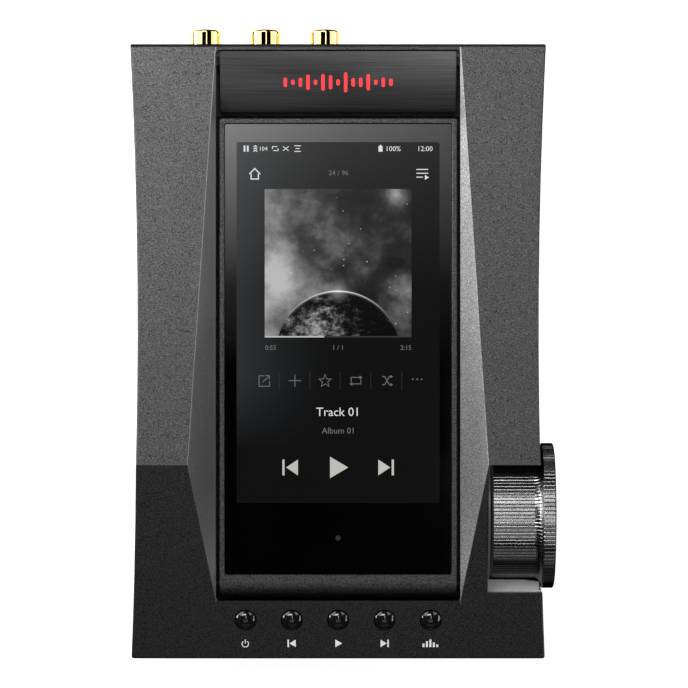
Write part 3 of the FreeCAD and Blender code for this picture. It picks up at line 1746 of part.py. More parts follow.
def build():
    cavity = wheel_cavity()
    upper_land, lower_land = wheel_land()
    make_top_cover(cavity, upper_land)
    make_lower_housing(cavity, lower_land)
    make_base_pad()
    make_housing_screws()
    make_accent_strip()
    make_display_module()
    make_well_tray()
    make_hinge_brackets()
    make_wheel()
    make_wheel_supports()
    make_keys()
    key_screws = make_key_board()
    make_rear_panel()
    make_rca_sockets()
    make_balanced_sockets()
    make_small_rear_sockets()
    make_front_jacks()
    make_boards(key_screws)
    doc.recompute()


def check():
    """Stops the build if any object failed or any piece is empty or invalid."""
    for obj in doc.Objects:
        if "Invalid" in obj.State or "Error" in obj.State:
            raise RuntimeError("%s (%s) failed: %s" % (obj.Name, obj.Label, obj.State))
    for obj in SUB_PARTS:
        if obj.Shape.isNull() or not obj.Shape.isValid() or not obj.Shape.Solids:
            raise RuntimeError("%s has no valid solid" % obj.Label)


def export():
    os.makedirs("parts", exist_ok=True)
    for obj in SUB_PARTS:
        obj.Shape.exportStep("parts/%s.step" % obj.Label)
    print("%d pieces" % len(SUB_PARTS))


build()
check()
export()
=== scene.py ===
"""A desktop audio player lying on its back: finishes, screen, wheel, light and camera."""

import json
import math

import bpy
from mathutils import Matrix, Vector


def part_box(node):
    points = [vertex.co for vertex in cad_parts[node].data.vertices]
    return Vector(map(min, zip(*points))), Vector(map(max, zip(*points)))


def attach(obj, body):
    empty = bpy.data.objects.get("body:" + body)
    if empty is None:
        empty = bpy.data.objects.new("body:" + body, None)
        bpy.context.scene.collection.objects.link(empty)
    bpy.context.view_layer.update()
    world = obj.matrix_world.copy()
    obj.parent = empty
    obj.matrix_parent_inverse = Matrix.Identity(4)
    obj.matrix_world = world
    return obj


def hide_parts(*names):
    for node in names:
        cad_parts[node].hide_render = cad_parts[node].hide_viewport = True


MM = 0.001

# camera: straight above the display, seeing this width of the display's plane
VIEW_CENTRE = (1.45, 1.73)
DISPLAY_PLANE = 33.3
CAMERA_DISTANCE = 1000.0
FIELD_WIDTH = 169.6
SENSOR = 36.0
CLIP_NEAR, CLIP_FAR = 0.05, 50.0

# a noise texture's usual lowest and highest values
NOISE_LOW, NOISE_HIGH = 0.3, 0.7

# finishes: how strongly a grain shows as relief, and how many grains wide the gloss varies
RELIEF = 0.6
GLOSS_PATCH = 40

# front slope of the cover
RIDGE_Y = -27.83
PEAK_Z = 44.0
SLOPE = math.tan(math.radians(17.33))

# inner facets of the cover: they rise outwards from the display's well
FACET_RISE = 1.59
FACET_FOOT = (30.1, 33.5)
FACET_BASE = FACET_FOOT[1] - FACET_FOOT[0] * FACET_RISE
FACET_INNER_X = 30.0
FACET_OUTER_X = 38.0

# the level ledge in front of the wheel: inner side, middle, half its length and height
LEDGE_X = 36.0
LEDGE_Y = -57.9
LEDGE_HALF_LENGTH = 1.8
LEDGE_Z = 28.5

# masks of faces: how near a face counts as on it, and the width of a mask's edge
ON_FACE = 0.12
MASK_EDGE = 0.08

# cover: size of its grain, and the darkest and lightest of each face's colour; the inner facets'
# and the ledge's tones hold painted light
COVER_GRAIN = 0.28
WING_TONES = (0.028, 0.165)
# inner facets: partly a paler finish, partly painted light; the right facet's extra brightness is
# painted light
LEFT_FACET_FINISH_AND_PAINTED_LIGHT_TONES = (0.28, 0.40)
RIGHT_FACET_FINISH_AND_PAINTED_LIGHT_TONES = (0.20, 0.95)
# ledge: near white and less metallic, painted light so that it looks brightly lit
LEDGE_PAINTED_LIGHT_TONES = (0.80, 0.98)
LEDGE_METALLIC = 0.20

# volume wheel: its axis, its knurled barrel and flange, and the flare between them
WHEEL_Y = -40.75
WHEEL_Z = 27.5
BARREL_X = 38.1
BARREL_R = 15.4
FLANGE_R = 17.95
FLANGE_X = 50.2
FLANGE_LAND = (50.4, 52.95)
FLANGE_CHAMFER_R = 17.72
FLANGE_END_X = 53.15
BARREL_CHAMFER = (37.95, 15.3)
BARREL_PARTS, FLARE_PARTS, LAND_PARTS = 4, 8, 3
FLARE = 2.1
TEETH = 108
GROOVE = 0.07

# (x, radius) of the wheel's plain ends: from the bore out, and back from the rim to the bore
WHEEL_INNER_END = ((37.6, 3.1), (37.6, 14.7), (37.72, 15.0))
WHEEL_OUTER_END = (
    (53.25, 17.45), (53.3, 16.6), (53.32, 13.4),
    (51.8, 13.4), (51.8, 6.0), (49.0, 6.0), (49.0, 3.1),
)

# (share of the pitch, share of the groove's depth) over one tooth: a land, then a narrow groove
TOOTH = ((0.0, 0), (0.30, 0), (0.60, 0), (0.80, 1))

# screen: the lit area, the rows of what it shows, and the widths of its lines
SCREEN_LEFT, SCREEN_RIGHT = -25.02, 25.02
SCREEN_FRONT, SCREEN_REAR = -37.5, 51.5
SCREEN_CORNER = 0.35
GLASS_GAP = 0.01
HOME_MARK = (0.0, -46.1, 0.62)
STATUS_Y = 49.9
HEADER_Y = 43.95
TRACK_BAR = (3.35, 3.70)
TRACK_DONE_X = -3.45
TIMES_Y = 0.85
TOOLS_Y = -7.3
TITLE_Y = -14.95
SUBTITLE_Y = -19.6
TRANSPORT_Y = -28.7
HAIRLINE = 0.18
THIN = 0.2
BOLD = 0.28

# lettering: its sizes, and half a digit's height as a share of its size
SMALL_TEXT = 1.45
TIMES_TEXT = 1.6
STATUS_TEXT = 1.75
SUBTITLE_TEXT = 2.1
TITLE_TEXT = 3.0
DIGIT_HALF = 0.35

# a corner's mitre is cut short where the cosine of half its turn is under this
MITRE_LIMIT = 0.4

# the lit area's black, the colour it reaches towards its left and rear, and where that has faded
# out
PANEL_BLACK = (0.0052, 0.0052, 0.0056)
LEFT_GLOW_COLOUR = (0.026, 0.029, 0.031)
LEFT_GLOW_END_X = 4
LEFT_GLOW_FADE_Y = (-24, -6)
UNLIT = (0.001, 0.001, 0.001, 1)

# left, front, right and rear of the album picture, and its planet's centre and radius
ART = (-18.1, 3.7, 18.1, 39.93)
PLANET = (0.0, -0.5, 15.28)

# the planet's lit rim: its width inside and outside the edge, how far along the edge it
# reaches, and the reach and strength of the flare at its crest
RIM_INSIDE, RIM_OUTSIDE = 1.0, 0.3
RIM_REACH = 17.0
FLARE_REACH, FLARE_STRENGTH = 3.4, 0.22

# x, y, reach and strength of the soft light in the picture's cloud
ART_LIGHTS = (
    (-16.0, 15.5, 15.0, 0.27),
    (-13.0, 20.0, 12.0, 0.10),
    (-18.0, 32.0, 13.0, 0.15),
    (14.2, 38.6, 6.0, 0.52),
    (16.0, 17.5, 5.5, 0.26),
    (15.0, 9.0, 8.0, 0.24),
    (-3.0, 15.5, 12.0, 0.14),
    (1.0, 39.5, 9.0, 0.06),
)

# (level, grey) of the picture's cloud and of the planet's ground
CLOUD_TONES = (
    (0.28, 0.008), (0.38, 0.018), (0.48, 0.045), (0.60, 0.13), (0.74, 0.28), (0.90, 0.48),
)
GROUND_TONES = ((0.42, 0.003), (0.52, 0.018), (0.60, 0.10), (0.72, 0.32))

# key symbols: their row, the keys' pitch, half a symbol's height, the ink's height, the
# power sign's ring (radius and line width) and the equaliser's bars
SYMBOL_Y = -72.3
KEY_PITCH = 11.43
SYMBOL_HALF = 0.95
INK = 0.015
POWER_RING = 0.8
POWER_LINE = 0.22
POWER_GAP = (38, 322)
EQUALISER_BARS = (0.9, 1.5, 1.95, 1.2, 0.7)

# studio: the table, the card the sockets mirror, and the card the glass mirrors with its
# brightness from front to rear and from left to right
TABLE_REACH = 6000
TABLE_DROP = 0.02
BOUNCE_CARD = (-110, 77, 100, 120)
BOUNCE_HEIGHT = 0.5
CARD = (70.0, 125.0)
CARD_STRENGTH = 10.0
CARD_FALL = ((0.0, 0.0), (0.46, 0.0), (0.62, 0.045), (0.80, 0.33), (0.95, 0.66), (1.0, 0.72))
CARD_SIDE = ((0.0, 0.95), (0.5, 0.5), (1.0, 0.25))

# the world's grey from below to above: a pale band at the horizon
WORLD_TONES = ((0.0, 0.06), (0.44, 0.06), (0.50, 0.90), (0.62, 0.90), (0.75, 0.06))
WORLD_BAND = 0.1

# each light's name, place, the point it faces, size, and how bright it looks
TARGET = (0, 0, 30)
REAR_TARGET = (0, 85, 20)
LIGHTS = (
    ("overhead", (-285, 500, 960), (-285, 500, 0), (700, 320), 6.3),
    ("wheel_band", (100, 40, 1250), (100, 40, 0), (80, 620), 4.2),
    ("left_low", (-700, 160, 110), TARGET, (500, 200), 7.3),
    ("right_low", (700, -100, 110), TARGET, (500, 200), 2.6),
    ("rear_left", (-200, 130, 150), REAR_TARGET, (220, 220), 2.1),
    ("rear_right", (200, 130, 150), REAR_TARGET, (160, 200), 1.4),
    ("front_broad", (0, -520, 900), TARGET, (700, 420), 0.40),
    ("front_low", (60, -900, 260), TARGET, (900, 460), 0.10),
    ("rear_low", (120, 900, 200), TARGET, (900, 300), 0.12),
)


# ---------------------------------------------------------------- node helpers

def new_material(name, **sockets):
    """A node material and its Principled shader, with constant sockets set by name."""
    mat = bpy.data.materials.new(name)
    mat.use_nodes = True
    shader = mat.node_tree.nodes["Principled BSDF"]
    for key, value in sockets.items():
        shader.inputs[key.replace("_", " ")].default_value = value
    return mat, shader


def add(mat, kind, **settings):
    node = mat.node_tree.nodes.new(kind)
    for key, value in settings.items():
        setattr(node, key, value)
    return node


def join(mat, source, target):
    mat.node_tree.links.new(source, target)


def place_coords(mat, scale=(1, 1, 1), offset=(0, 0, 0)):
    """The piece's own coordinates, stretched."""
    coords = add(mat, "ShaderNodeTexCoord")
    mapping = add(mat, "ShaderNodeMapping")
    mapping.inputs["Scale"].default_value = scale
    mapping.inputs["Location"].default_value = offset
    join(mat, coords.outputs["Object"], mapping.inputs["Vector"])
    return mapping.outputs["Vector"]


def noise(mat, vector, scale, detail=2.0, roughness=0.5):
    """A noise texture's value; scale is in cells per metre."""
    node = add(mat, "ShaderNodeTexNoise")
    node.inputs["Scale"].default_value = scale
    node.inputs["Detail"].default_value = detail
    node.inputs["Roughness"].default_value = roughness
    join(mat, vector, node.inputs["Vector"])
    return node.outputs["Fac"]


def ramp(mat, factor, stops):
    """A colour picked by a value from (position, colour) stops."""
    node = add(mat, "ShaderNodeValToRGB")
    elements = node.color_ramp.elements
    while len(elements) < len(stops):
        elements.new(0.5)
    for element, (position, colour) in zip(elements, stops):
        element.position = position
        element.color = (*colour, 1.0)
    join(mat, factor, node.inputs["Fac"])
    return node.outputs["Color"]


def two_tone(mat, factor, dark, light):
    """A noise texture's value as a colour between two."""
    return ramp(mat, factor, ((NOISE_LOW, dark), (NOISE_HIGH, light)))


def grey(value):
    return (value, value, value)


def greys(stops):
    return [(position, grey(value)) for position, value in stops]


def spread(mat, factor, low, high, start=NOISE_LOW, end=NOISE_HIGH):
    """A value between start and end, moved to between low and high."""
    node = add(mat, "ShaderNodeMapRange")
    node.inputs["From Min"].default_value = start
    node.inputs["From Max"].default_value = end
    node.inputs["To Min"].default_value = low
    node.inputs["To Max"].default_value = high
    join(mat, factor, node.inputs["Value"])
    return node.outputs["Result"]


def bump(mat, shader, height, strength, depth):
    """Relief from a texture, its depth in millimetres."""
    node = add(mat, "ShaderNodeBump")
    node.inputs["Strength"].default_value = strength
    node.inputs["Distance"].default_value = depth * MM
    join(mat, height, node.inputs["Height"])
    join(mat, node.outputs["Normal"], shader.inputs["Normal"])


def math_node(mat, operation, a, b=None):
    """Arithmetic on sockets or numbers."""
    node = add(mat, "ShaderNodeMath", operation=operation)
    for socket, value in zip(node.inputs, (a, b)):
        if value is None:
            continue
        if isinstance(value, (int, float)):
            socket.default_value = value
        else:
            join(mat, value, socket)
    return node.outputs["Value"]


def split_xyz(mat, vector):
    node = add(mat, "ShaderNodeSeparateXYZ")
    join(mat, vector, node.inputs["Vector"])
    return node.outputs


def blend_colours(mat, factor, a, b, how="MIX"):
    node = add(mat, "ShaderNodeMix", data_type="RGBA", blend_type=how)
    sockets = [s for s in node.inputs if s.enabled]
    if isinstance(factor, float):
        sockets[0].default_value = factor
    else:
        join(mat, factor, sockets[0])
    join(mat, a, sockets[1])
    join(mat, b, sockets[2])
    return next(s for s in node.outputs if s.enabled)


# ---------------------------------------------------------------- surface finishes

def textured(
    name, dark, light, grain_mm, roughness, depth, stretch=(1, 1, 1), detail=2.0, **sockets
):
    """A finish whose colour and relief share one grain, and whose gloss varies more broadly."""
    mat, shader = new_material(name, **sockets)
    vector = place_coords(mat, stretch)
    grain = noise(mat, vector, 1 / (grain_mm * MM), detail)
    join(mat, two_tone(mat, grain, dark, light), shader.inputs["Base Color"])
    broad = noise(mat, vector, 1 / (grain_mm * GLOSS_PATCH * MM), 3.0)
    join(mat, spread(mat, broad, *roughness), shader.inputs["Roughness"])
    bump(mat, shader, grain, RELIEF, depth)
    return mat


def level_band(mat, value, middle, half):
    """1 within half of middle, falling off sharply to 0."""
    away = math_node(mat, "ABSOLUTE", math_node(mat, "SUBTRACT", value, middle * MM))
    return spread(mat, away, 1.0, 0.0, half * MM, (half + MASK_EDGE) * MM)


def past(mat, value, start, width):
    """0 before start, then 1, with an edge of the given width."""
    return spread(mat, value, 0.0, 1.0, start * MM, (start + width) * MM)


def faces_with_painted_light(mat, axes):
    """Masks of the cover's faces that get painted light: the inner facets, and the ledge by the
    wheel.
    """
    outwards = math_node(mat, "ABSOLUTE", axes["X"])
    rise = math_node(mat, "MULTIPLY", outwards, FACET_RISE)
    on_facet = level_band(mat, math_node(mat, "SUBTRACT", axes["Z"], rise), FACET_BASE, ON_FACE)
    inside = spread(mat, outwards, 1.0, 0.0, FACET_OUTER_X * MM, (FACET_OUTER_X + 0.2) * MM)
    outside = past(mat, outwards, FACET_INNER_X, 0.05)
    facets = math_node(mat, "MULTIPLY", on_facet, math_node(mat, "MULTIPLY", inside, outside))
    on_ledge = level_band(mat, axes["Z"], LEDGE_Z, ON_FACE)
    along = level_band(mat, axes["Y"], LEDGE_Y, LEDGE_HALF_LENGTH)
    by_wheel = math_node(mat, "MULTIPLY", past(mat, axes["X"], LEDGE_X, 0.2), along)
    return facets, math_node(mat, "MULTIPLY", on_ledge, by_wheel)


def cover_anodised():
    """Bead-blasted dark grey anodising with a fine sparkle; the inner facets and the ledge get
    painted light.
    """
    mat, shader = new_material("cover_anodised")
    vector = place_coords(mat)
    axes = split_xyz(mat, vector)
    grain = noise(mat, vector, 1 / (COVER_GRAIN * MM))
    wings, left_facet, right_facet, ledge = (
        two_tone(mat, grain, grey(dark), grey(light))
        for dark, light in (WING_TONES, LEFT_FACET_FINISH_AND_PAINTED_LIGHT_TONES, RIGHT_FACET_FINISH_AND_PAINTED_LIGHT_TONES, LEDGE_PAINTED_LIGHT_TONES)
    )
    on_facet, on_ledge = faces_with_painted_light(mat, axes)
    # painted light: the right inner facet is made far paler than the left one, as if lit from the
    # left
    facets = blend_colours(mat, past(mat, axes["X"], -1, 2), left_facet, right_facet)
    colour = blend_colours(mat, on_facet, wings, facets)
    # painted light: the ledge by the wheel is near white and barely metallic, so it looks
    # brightly lit
    join(mat, blend_colours(mat, on_ledge, colour, ledge), shader.inputs["Base Color"])
    join(mat, spread(mat, on_ledge, 1.0, LEDGE_METALLIC, 0.0, 1.0), shader.inputs["Metallic"])
    join(mat, spread(mat, noise(mat, vector, 60.0, 3.0), 0.40, 0.45), shader.inputs["Roughness"])
    bump(mat, shader, grain, RELIEF, 0.012)
    return mat


def frame_anodised():
    return textured(
        "frame_anodised", grey(0.040), grey(0.180), 0.36, (0.42, 0.47), 0.012, Metallic=1.0
    )


def housing_black():
    return textured(
        "housing_black", grey(0.012), grey(0.020), 0.35, (0.26, 0.34), 0.004, Metallic=0.3
    )


def strip_brushed():
    """Black anodised metal with fine sideways brush lines."""
    return textured(
        "strip_brushed", grey(0.095), grey(0.165), 0.25, (0.36, 0.42), 0.003,
        stretch=(0.012, 1, 1), detail=4.0, Metallic=1.0, Anisotropic=0.6,
    )


def wheel_machined():
    return textured(
        "wheel_machined", grey(0.24), grey(0.46), 0.22, (0.20, 0.25), 0.001,
        stretch=(0.35, 1, 1), detail=3.0, Metallic=1.0,
    )


def plastic(name, dark, light, roughness, grain=0.3, depth=0.01):
    return textured(name, dark, light, grain, roughness, depth)


def metal(name, dark, light, roughness):
    return textured(name, dark, light, 0.2, roughness, 0.002, Metallic=1.0)


def scaled(colour, factor):
    return tuple(c * factor for c in colour)


def glowing(name, colour, strength, body=0.5):
    """Plastic lit from within, or ink given a painted glow; slightly uneven; body is how pale it
    is itself.
    """
    mat, shader = new_material(name, Emission_Strength=strength, Roughness=0.35)
    cloud = noise(mat, place_coords(mat), 900.0)
    dim = scaled(colour, 0.85)
    join(mat, two_tone(mat, cloud, dim, colour), shader.inputs["Emission Color"])
    own = two_tone(mat, cloud, scaled(dim, body), scaled(colour, body))
    join(mat, own, shader.inputs["Base Color"])
    return mat


def polished_black(name, ior, scale, detail, tones, roughness):
    """Gloss black whose tone and polish vary together."""
    mat, shader = new_material(name, IOR=ior)
    marks = noise(mat, place_coords(mat), scale, detail)
    dark, light = tones
    join(mat, two_tone(mat, marks, grey(dark), grey(light)), shader.inputs["Base Color"])
    join(mat, spread(mat, marks, *roughness), shader.inputs["Roughness"])
    return mat


def key_gloss():
    """Polished black, with a few hairline marks."""
    return polished_black("key_gloss", 1.8, 2500.0, 4.0, (0.008, 0.014), (0.05, 0.09))


def glass_black():
    """The display's cover glass over its black printed border."""
    return polished_black("display_glass", 1.5, 60.0, 3.0, (0.0010, 0.0016), (0.03, 0.05))


def board_green():
    """Green solder resist with a faint pattern of paler traces."""
    mat, shader = new_material("board_green", Roughness=0.35)
    vector = place_coords(mat)
    cells = add(mat, "ShaderNodeTexBrick")
    cells.inputs["Scale"].default_value = 260.0
    cells.inputs["Mortar Size"].default_value = 0.035
    cells.inputs["Color1"].default_value = (0.012, 0.075, 0.03, 1)
    cells.inputs["Color2"].default_value = (0.018, 0.095, 0.038, 1)
    cells.inputs["Mortar"].default_value = (0.03, 0.15, 0.06, 1)
    join(mat, vector, cells.inputs["Vector"])
    join(mat, cells.outputs["Color"], shader.inputs["Base Color"])
    bump(mat, shader, cells.outputs["Fac"], 0.3, 0.02)
    return mat


def gold(name, roughness):
    return metal(name, (0.86, 0.62, 0.27), (0.96, 0.74, 0.38), roughness)


def finishes():
    """Every finish, by the record's slot name."""
    black = (grey(0.010), grey(0.018))
    lens = (1.0, 0.035, 0.045)
    bush = ((0.52, 0.38, 0.14), (0.62, 0.47, 0.20))
    standoff = ((0.60, 0.44, 0.17), (0.70, 0.54, 0.24))
    wrap = ((0.03, 0.04, 0.08), (0.04, 0.05, 0.10))
    return {
        "cover_anodised": cover_anodised(),
        "frame_anodised": frame_anodised(),
        "housing_black": housing_black(),
        "strip_brushed": strip_brushed(),
        "wheel_machined": wheel_machined(),
        "wheel_cap_dark": metal("wheel_cap_dark", grey(0.05), grey(0.09), (0.30, 0.38)),
        "panel_black": plastic("panel_black", *black, (0.45, 0.55)),
        "pad_rubber": plastic("pad_rubber", grey(0.008), grey(0.014), (0.75, 0.85), 0.5, 0.03),
        "screw_steel": metal("screw_steel", grey(0.10), grey(0.16), (0.35, 0.45)),
        "lens_red": glowing("lens_red", lens, 1.6),
        "inner_plastic": plastic("inner_plastic", grey(0.03), grey(0.045), (0.5, 0.6)),
        "board_green": board_green(),
        "display_glass": glass_black(),
        "lcd_black": plastic("lcd_black", grey(0.006), grey(0.010), (0.2, 0.3)),
        "frame_back": plastic("frame_back", grey(0.02), grey(0.03), (0.5, 0.6)),
        # near-black pins: black-oxide steel, and painted shade where they stand in for the dark
        # gap beside the display frame
        "pin_steel": metal("pin_steel", grey(0.012), grey(0.020), (0.40, 0.50)),
        "tray_black": plastic("tray_black", *black, (0.55, 0.65), 0.4, 0.02),
        "bracket_steel": metal("bracket_steel", grey(0.34), grey(0.46), (0.32, 0.42)),
        "bush_brass": metal("bush_brass", *bush, (0.25, 0.35)),
        "light_ring": glowing("light_ring", (0.80, 0.80, 0.82), 0.05, 0.03),
        "key_gloss": key_gloss(),
        "rca_gold": gold("rca_gold", (0.05, 0.07)),
        "contact_gold": gold("contact_gold", (0.16, 0.22)),
        "ring_gold": gold("ring_gold", (0.12, 0.18)),
        "socket_insert": plastic("socket_insert", grey(0.02), grey(0.03), (0.45, 0.55)),
        "socket_shell": metal("socket_shell", grey(0.22), grey(0.32), (0.25, 0.35)),
        "jack_body": plastic("jack_body", *black, (0.4, 0.5)),
        "shield_tin": metal("shield_tin", grey(0.50), grey(0.62), (0.30, 0.40)),
        "capacitor_can": metal("capacitor_can", grey(0.52), grey(0.64), (0.25, 0.35)),
        "standoff_brass": metal("standoff_brass", *standoff, (0.25, 0.35)),
        "battery_wrap": plastic("battery_wrap", *wrap, (0.3, 0.4)),
    }


def slots_by_node(record):
    """{node: slot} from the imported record."""
    return {part["node"]: part["material_slot"] for part in record["subparts"]}


# ---------------------------------------------------------------- mesh helpers

def mesh_object(name, vertices, faces, mat):
    """A mesh from vertices in millimetres, put in the scene."""
    mesh = bpy.data.meshes.new(name)
    mesh.from_pydata([[c * MM for c in v] for v in vertices], [], faces)
    mesh.update()
    mesh.materials.append(mat)
    made_object = bpy.data.objects.new(name, mesh)
    bpy.context.scene.collection.objects.link(made_object)
    return made_object


def mesh_piece(name, vertices, faces, mat, body):
    """A new piece riding on a body."""
    piece = mesh_object(name, vertices, faces, mat)
    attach(piece, body)
    return piece


class Drawing:
    """Flat shapes, in millimetres, collected into one thin piece."""

    def __init__(self, height):
        self.height = height
        self.vertices = []
        self.faces = []

    def add(self, points):
        """One flat face with this outline."""
        start = len(self.vertices)
        self.vertices += [(x, y, self.height(x, y)) for x, y in points]
        self.faces.append(list(range(start, start + len(points))))

    def bar(self, x0, y0, x1, y1):
        self.add([(x0, y0), (x1, y0), (x1, y1), (x0, y1)])

    def stroke(self, points, width, closed=False):
        """A line of even width with mitred corners."""
        count = len(points)
        left, right = [], []
        for i, point in enumerate(points):
            before = points[i - 1] if closed or i else point
            after = points[(i + 1) % count] if closed or i < count - 1 else point
            first = Vector(point) - Vector(before)
            second = Vector(after) - Vector(point)
            first = first.normalized() if first.length else second.normalized()
            second = second.normalized() if second.length else first
            side = Vector((-first.y - second.y, first.x + second.x)).normalized()
            reach = width / 2 / max(MITRE_LIMIT, side.dot(Vector((-first.y, first.x))))
            left.append(tuple(Vector(point) + side * reach))
            right.append(tuple(Vector(point) - side * reach))
        for i in range(count if closed else count - 1):
            j = (i + 1) % count
            self.add([right[i], right[j], left[j], left[i]])

    def disc(self, x, y, radius, parts=24):
        self.add(circle(x, y, radius, parts))

    def text(self, words, x, y, size, align="CENTER"):
        """Lettering in the built-in font, as flat faces. y is the middle of a digit."""
        curve = bpy.data.curves.new("lettering", "FONT")
        curve.body = words
        curve.size = size
        curve.align_x = align
        curve.resolution_u = 3
        source = bpy.data.objects.new("lettering", curve)
        mesh = bpy.data.meshes.new_from_object(source)
        start = len(self.vertices)
        drop = size * DIGIT_HALF
        for vertex in mesh.vertices:
            at = (x + vertex.co.x, y + vertex.co.y - drop)
            self.vertices.append((*at, self.height(*at)))
        for polygon in mesh.polygons:
            self.faces.append([start + i for i in polygon.vertices])
        bpy.data.objects.remove(source)
        bpy.data.curves.remove(curve)
        bpy.data.meshes.remove(mesh)

    def piece(self, name, mat, body):
        return mesh_piece(name, self.vertices, self.faces, mat, body)


def circle(x, y, radius, parts):
    turn = 2 * math.pi / parts
    angles = [i * turn for i in range(parts)]
    return [(x + radius * math.cos(a), y + radius * math.sin(a)) for a in angles]


def star(x, y, outer, inner):
    """A five-pointed star's outline."""
    turn = math.pi / 5
    radii = [outer, inner] * 5
    return [(x - r * math.sin(i * turn), y + r * math.cos(i * turn)) for i, r in enumerate(radii)]


def rounded(x0, y0, x1, y1, radius):
    """A rectangle's outline with round corners."""
    corners = ((x1, y1, 0), (x0, y1, 1), (x0, y0, 2), (x1, y0, 3))
    parts = 5
    points = []
    for cx, cy, quarter in corners:
        ox = cx - math.copysign(radius, cx - (x0 + x1) / 2)
        oy = cy - math.copysign(radius, cy - (y0 + y1) / 2)
        for i in range(parts + 1):
            angle = math.pi / 2 * (quarter + i / parts)
            points.append((ox + radius * math.cos(angle), oy + radius * math.sin(angle)))
    return points


# ---------------------------------------------------------------- volume wheel

def wheel_stations():
    """(x, radius, groove depth) along the wheel's profile, from its bore and back."""
    flare_x = FLANGE_X - FLARE
    barrel = flare_x - BARREL_X
    land = FLANGE_LAND[1] - FLANGE_LAND[0]
    knurled = [BARREL_CHAMFER]
    for i in range(BARREL_PARTS + 1):
        knurled.append((BARREL_X + barrel * i / BARREL_PARTS, BARREL_R))
    for i in range(1, FLARE_PARTS + 1):
        angle = math.pi / 2 * i / FLARE_PARTS
        radius = BARREL_R + FLARE * (1 - math.cos(angle))
        knurled.append((flare_x + FLARE * math.sin(angle), radius))
    knurled.append((FLANGE_X, FLANGE_CHAMFER_R))
    for i in range(LAND_PARTS + 1):
        knurled.append((FLANGE_LAND[0] + land * i / LAND_PARTS, FLANGE_R))
    knurled.append((FLANGE_END_X, FLANGE_CHAMFER_R))
    sections = ((WHEEL_INNER_END, 0), (knurled, GROOVE), (WHEEL_OUTER_END, 0))
    return [(x, radius, groove) for profile, groove in sections for x, radius in profile]


def tooth_angles():
    """(angle, how deep in the groove) all round the wheel."""
    pitch = 2 * math.pi / TEETH
    return [((tooth + part) * pitch, depth) for tooth in range(TEETH) for part, depth in TOOTH]


def make_wheel(mat):
    """The knurled wheel, shown in place of the plain one."""
    stations = wheel_stations()
    around = tooth_angles()
    vertices = []
    for x, radius, groove in stations:
        for angle, depth in around:
            r = radius - groove * depth
            vertices.append((x, WHEEL_Y + r * math.sin(angle), WHEEL_Z + r * math.cos(angle)))
    count = len(around)
    faces = []
    for s in range(len(stations)):
        t = (s + 1) % len(stations)
        for i in range(count):
            j = (i + 1) % count
            faces.append([s * count + i, t * count + i, t * count + j, s * count + j])
    wheel = mesh_piece("knurled_wheel", vertices, faces, mat, "wheel")
    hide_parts("volume_wheel")


# ---------------------------------------------------------------- screen

def emitting(name, colour):
    """Lit pixels: light, with a faint unevenness across the panel."""
    mat, shader = new_material(name, Emission_Strength=1.0, Roughness=0.5, IOR=1.2)
    cloud = noise(mat, place_coords(mat), 35.0, 1.0)
    shade = two_tone(mat, cloud, scaled(colour, 0.88), colour)
    join(mat, shade, shader.inputs["Emission Color"])
    shader.inputs["Base Color"].default_value = (0.002, 0.002, 0.002, 1)
    return mat


def screen_panel():
    """The lit area: near black, paler towards its left edge and its rear."""
    mat, shader = new_material("screen_panel", Emission_Strength=1.0, IOR=1.235)
    vector = place_coords(mat)
    axes = split_xyz(mat, vector)
    left = spread(mat, axes["X"], 1.0, 0.0, SCREEN_LEFT * MM, LEFT_GLOW_END_X * MM)
    left_glow = math_node(mat, "POWER", left, 2.2)
    above = spread(mat, axes["Y"], 0.0, 1.0, LEFT_GLOW_FADE_Y[0] * MM, LEFT_GLOW_FADE_Y[1] * MM)
    cloud = spread(mat, noise(mat, vector, 45.0), 0.9, 1.1)
    level = math_node(mat, "MULTIPLY", math_node(mat, "MULTIPLY", left_glow, above), cloud)
    shade = ramp(mat, level, [(0.0, PANEL_BLACK), (1.0, LEFT_GLOW_COLOUR)])
    join(mat, shade, shader.inputs["Emission Color"])
    shader.inputs["Base Color"].default_value = UNLIT
    join(mat, spread(mat, noise(mat, vector, 60.0), 0.04, 0.07), shader.inputs["Roughness"])
    return mat


def distance_from(mat, flat, x, y):
    """How far each place on the screen is from a point."""
    away = add(mat, "ShaderNodeVectorMath", operation="DISTANCE")
    join(mat, flat, away.inputs[0])
    away.inputs[1].default_value = (x * MM, y * MM, 0)
    return away.outputs["Value"]


def glow_at(mat, flat, x, y, reach, power):
    """1 at a point of the screen, falling to 0 at reach."""
    near = spread(mat, distance_from(mat, flat, x, y), 1.0, 0.0, 0.0, reach * MM)
    return math_node(mat, "POWER", near, power)


def art_sky(mat, vector, flat):
    """Grey cloud, brighter to the left, with soft lights in it and a scatter of stars."""
    warp = noise(mat, place_coords(mat, (1, 1, 1), (0.3, 0.1, 0)), 90.0, 8.0, 0.58)
    across = spread(mat, split_xyz(mat, flat)["X"], 0.10, -0.12, ART[0] * MM, ART[2] * MM)
    level = math_node(mat, "ADD", math_node(mat, "SUBTRACT", warp, 0.06), across)
    for x, y, reach, strength in ART_LIGHTS:
        lobe = math_node(mat, "MULTIPLY", glow_at(mat, flat, x, y, reach, 1.3), strength)
        level = math_node(mat, "ADD", level, lobe)
    haze = ramp(mat, level, greys(CLOUD_TONES))
    return blend_colours(mat, 1.0, haze, art_stars(mat, vector), "ADD")


def art_stars(mat, vector):
    """Small dots, one in each of a few cells picked at random by the texture."""
    cells = add(mat, "ShaderNodeTexVoronoi")
    cells.inputs["Scale"].default_value = 700.0
    join(mat, vector, cells.inputs["Vector"])
    dots = spread(mat, cells.outputs["Distance"], 0.7, 0.0, 0.03, 0.15)
    pick = spread(mat, split_xyz(mat, cells.outputs["Color"])["X"], 0.0, 1.0, 0.74, 1.0)
    return math_node(mat, "MULTIPLY", dots, pick)


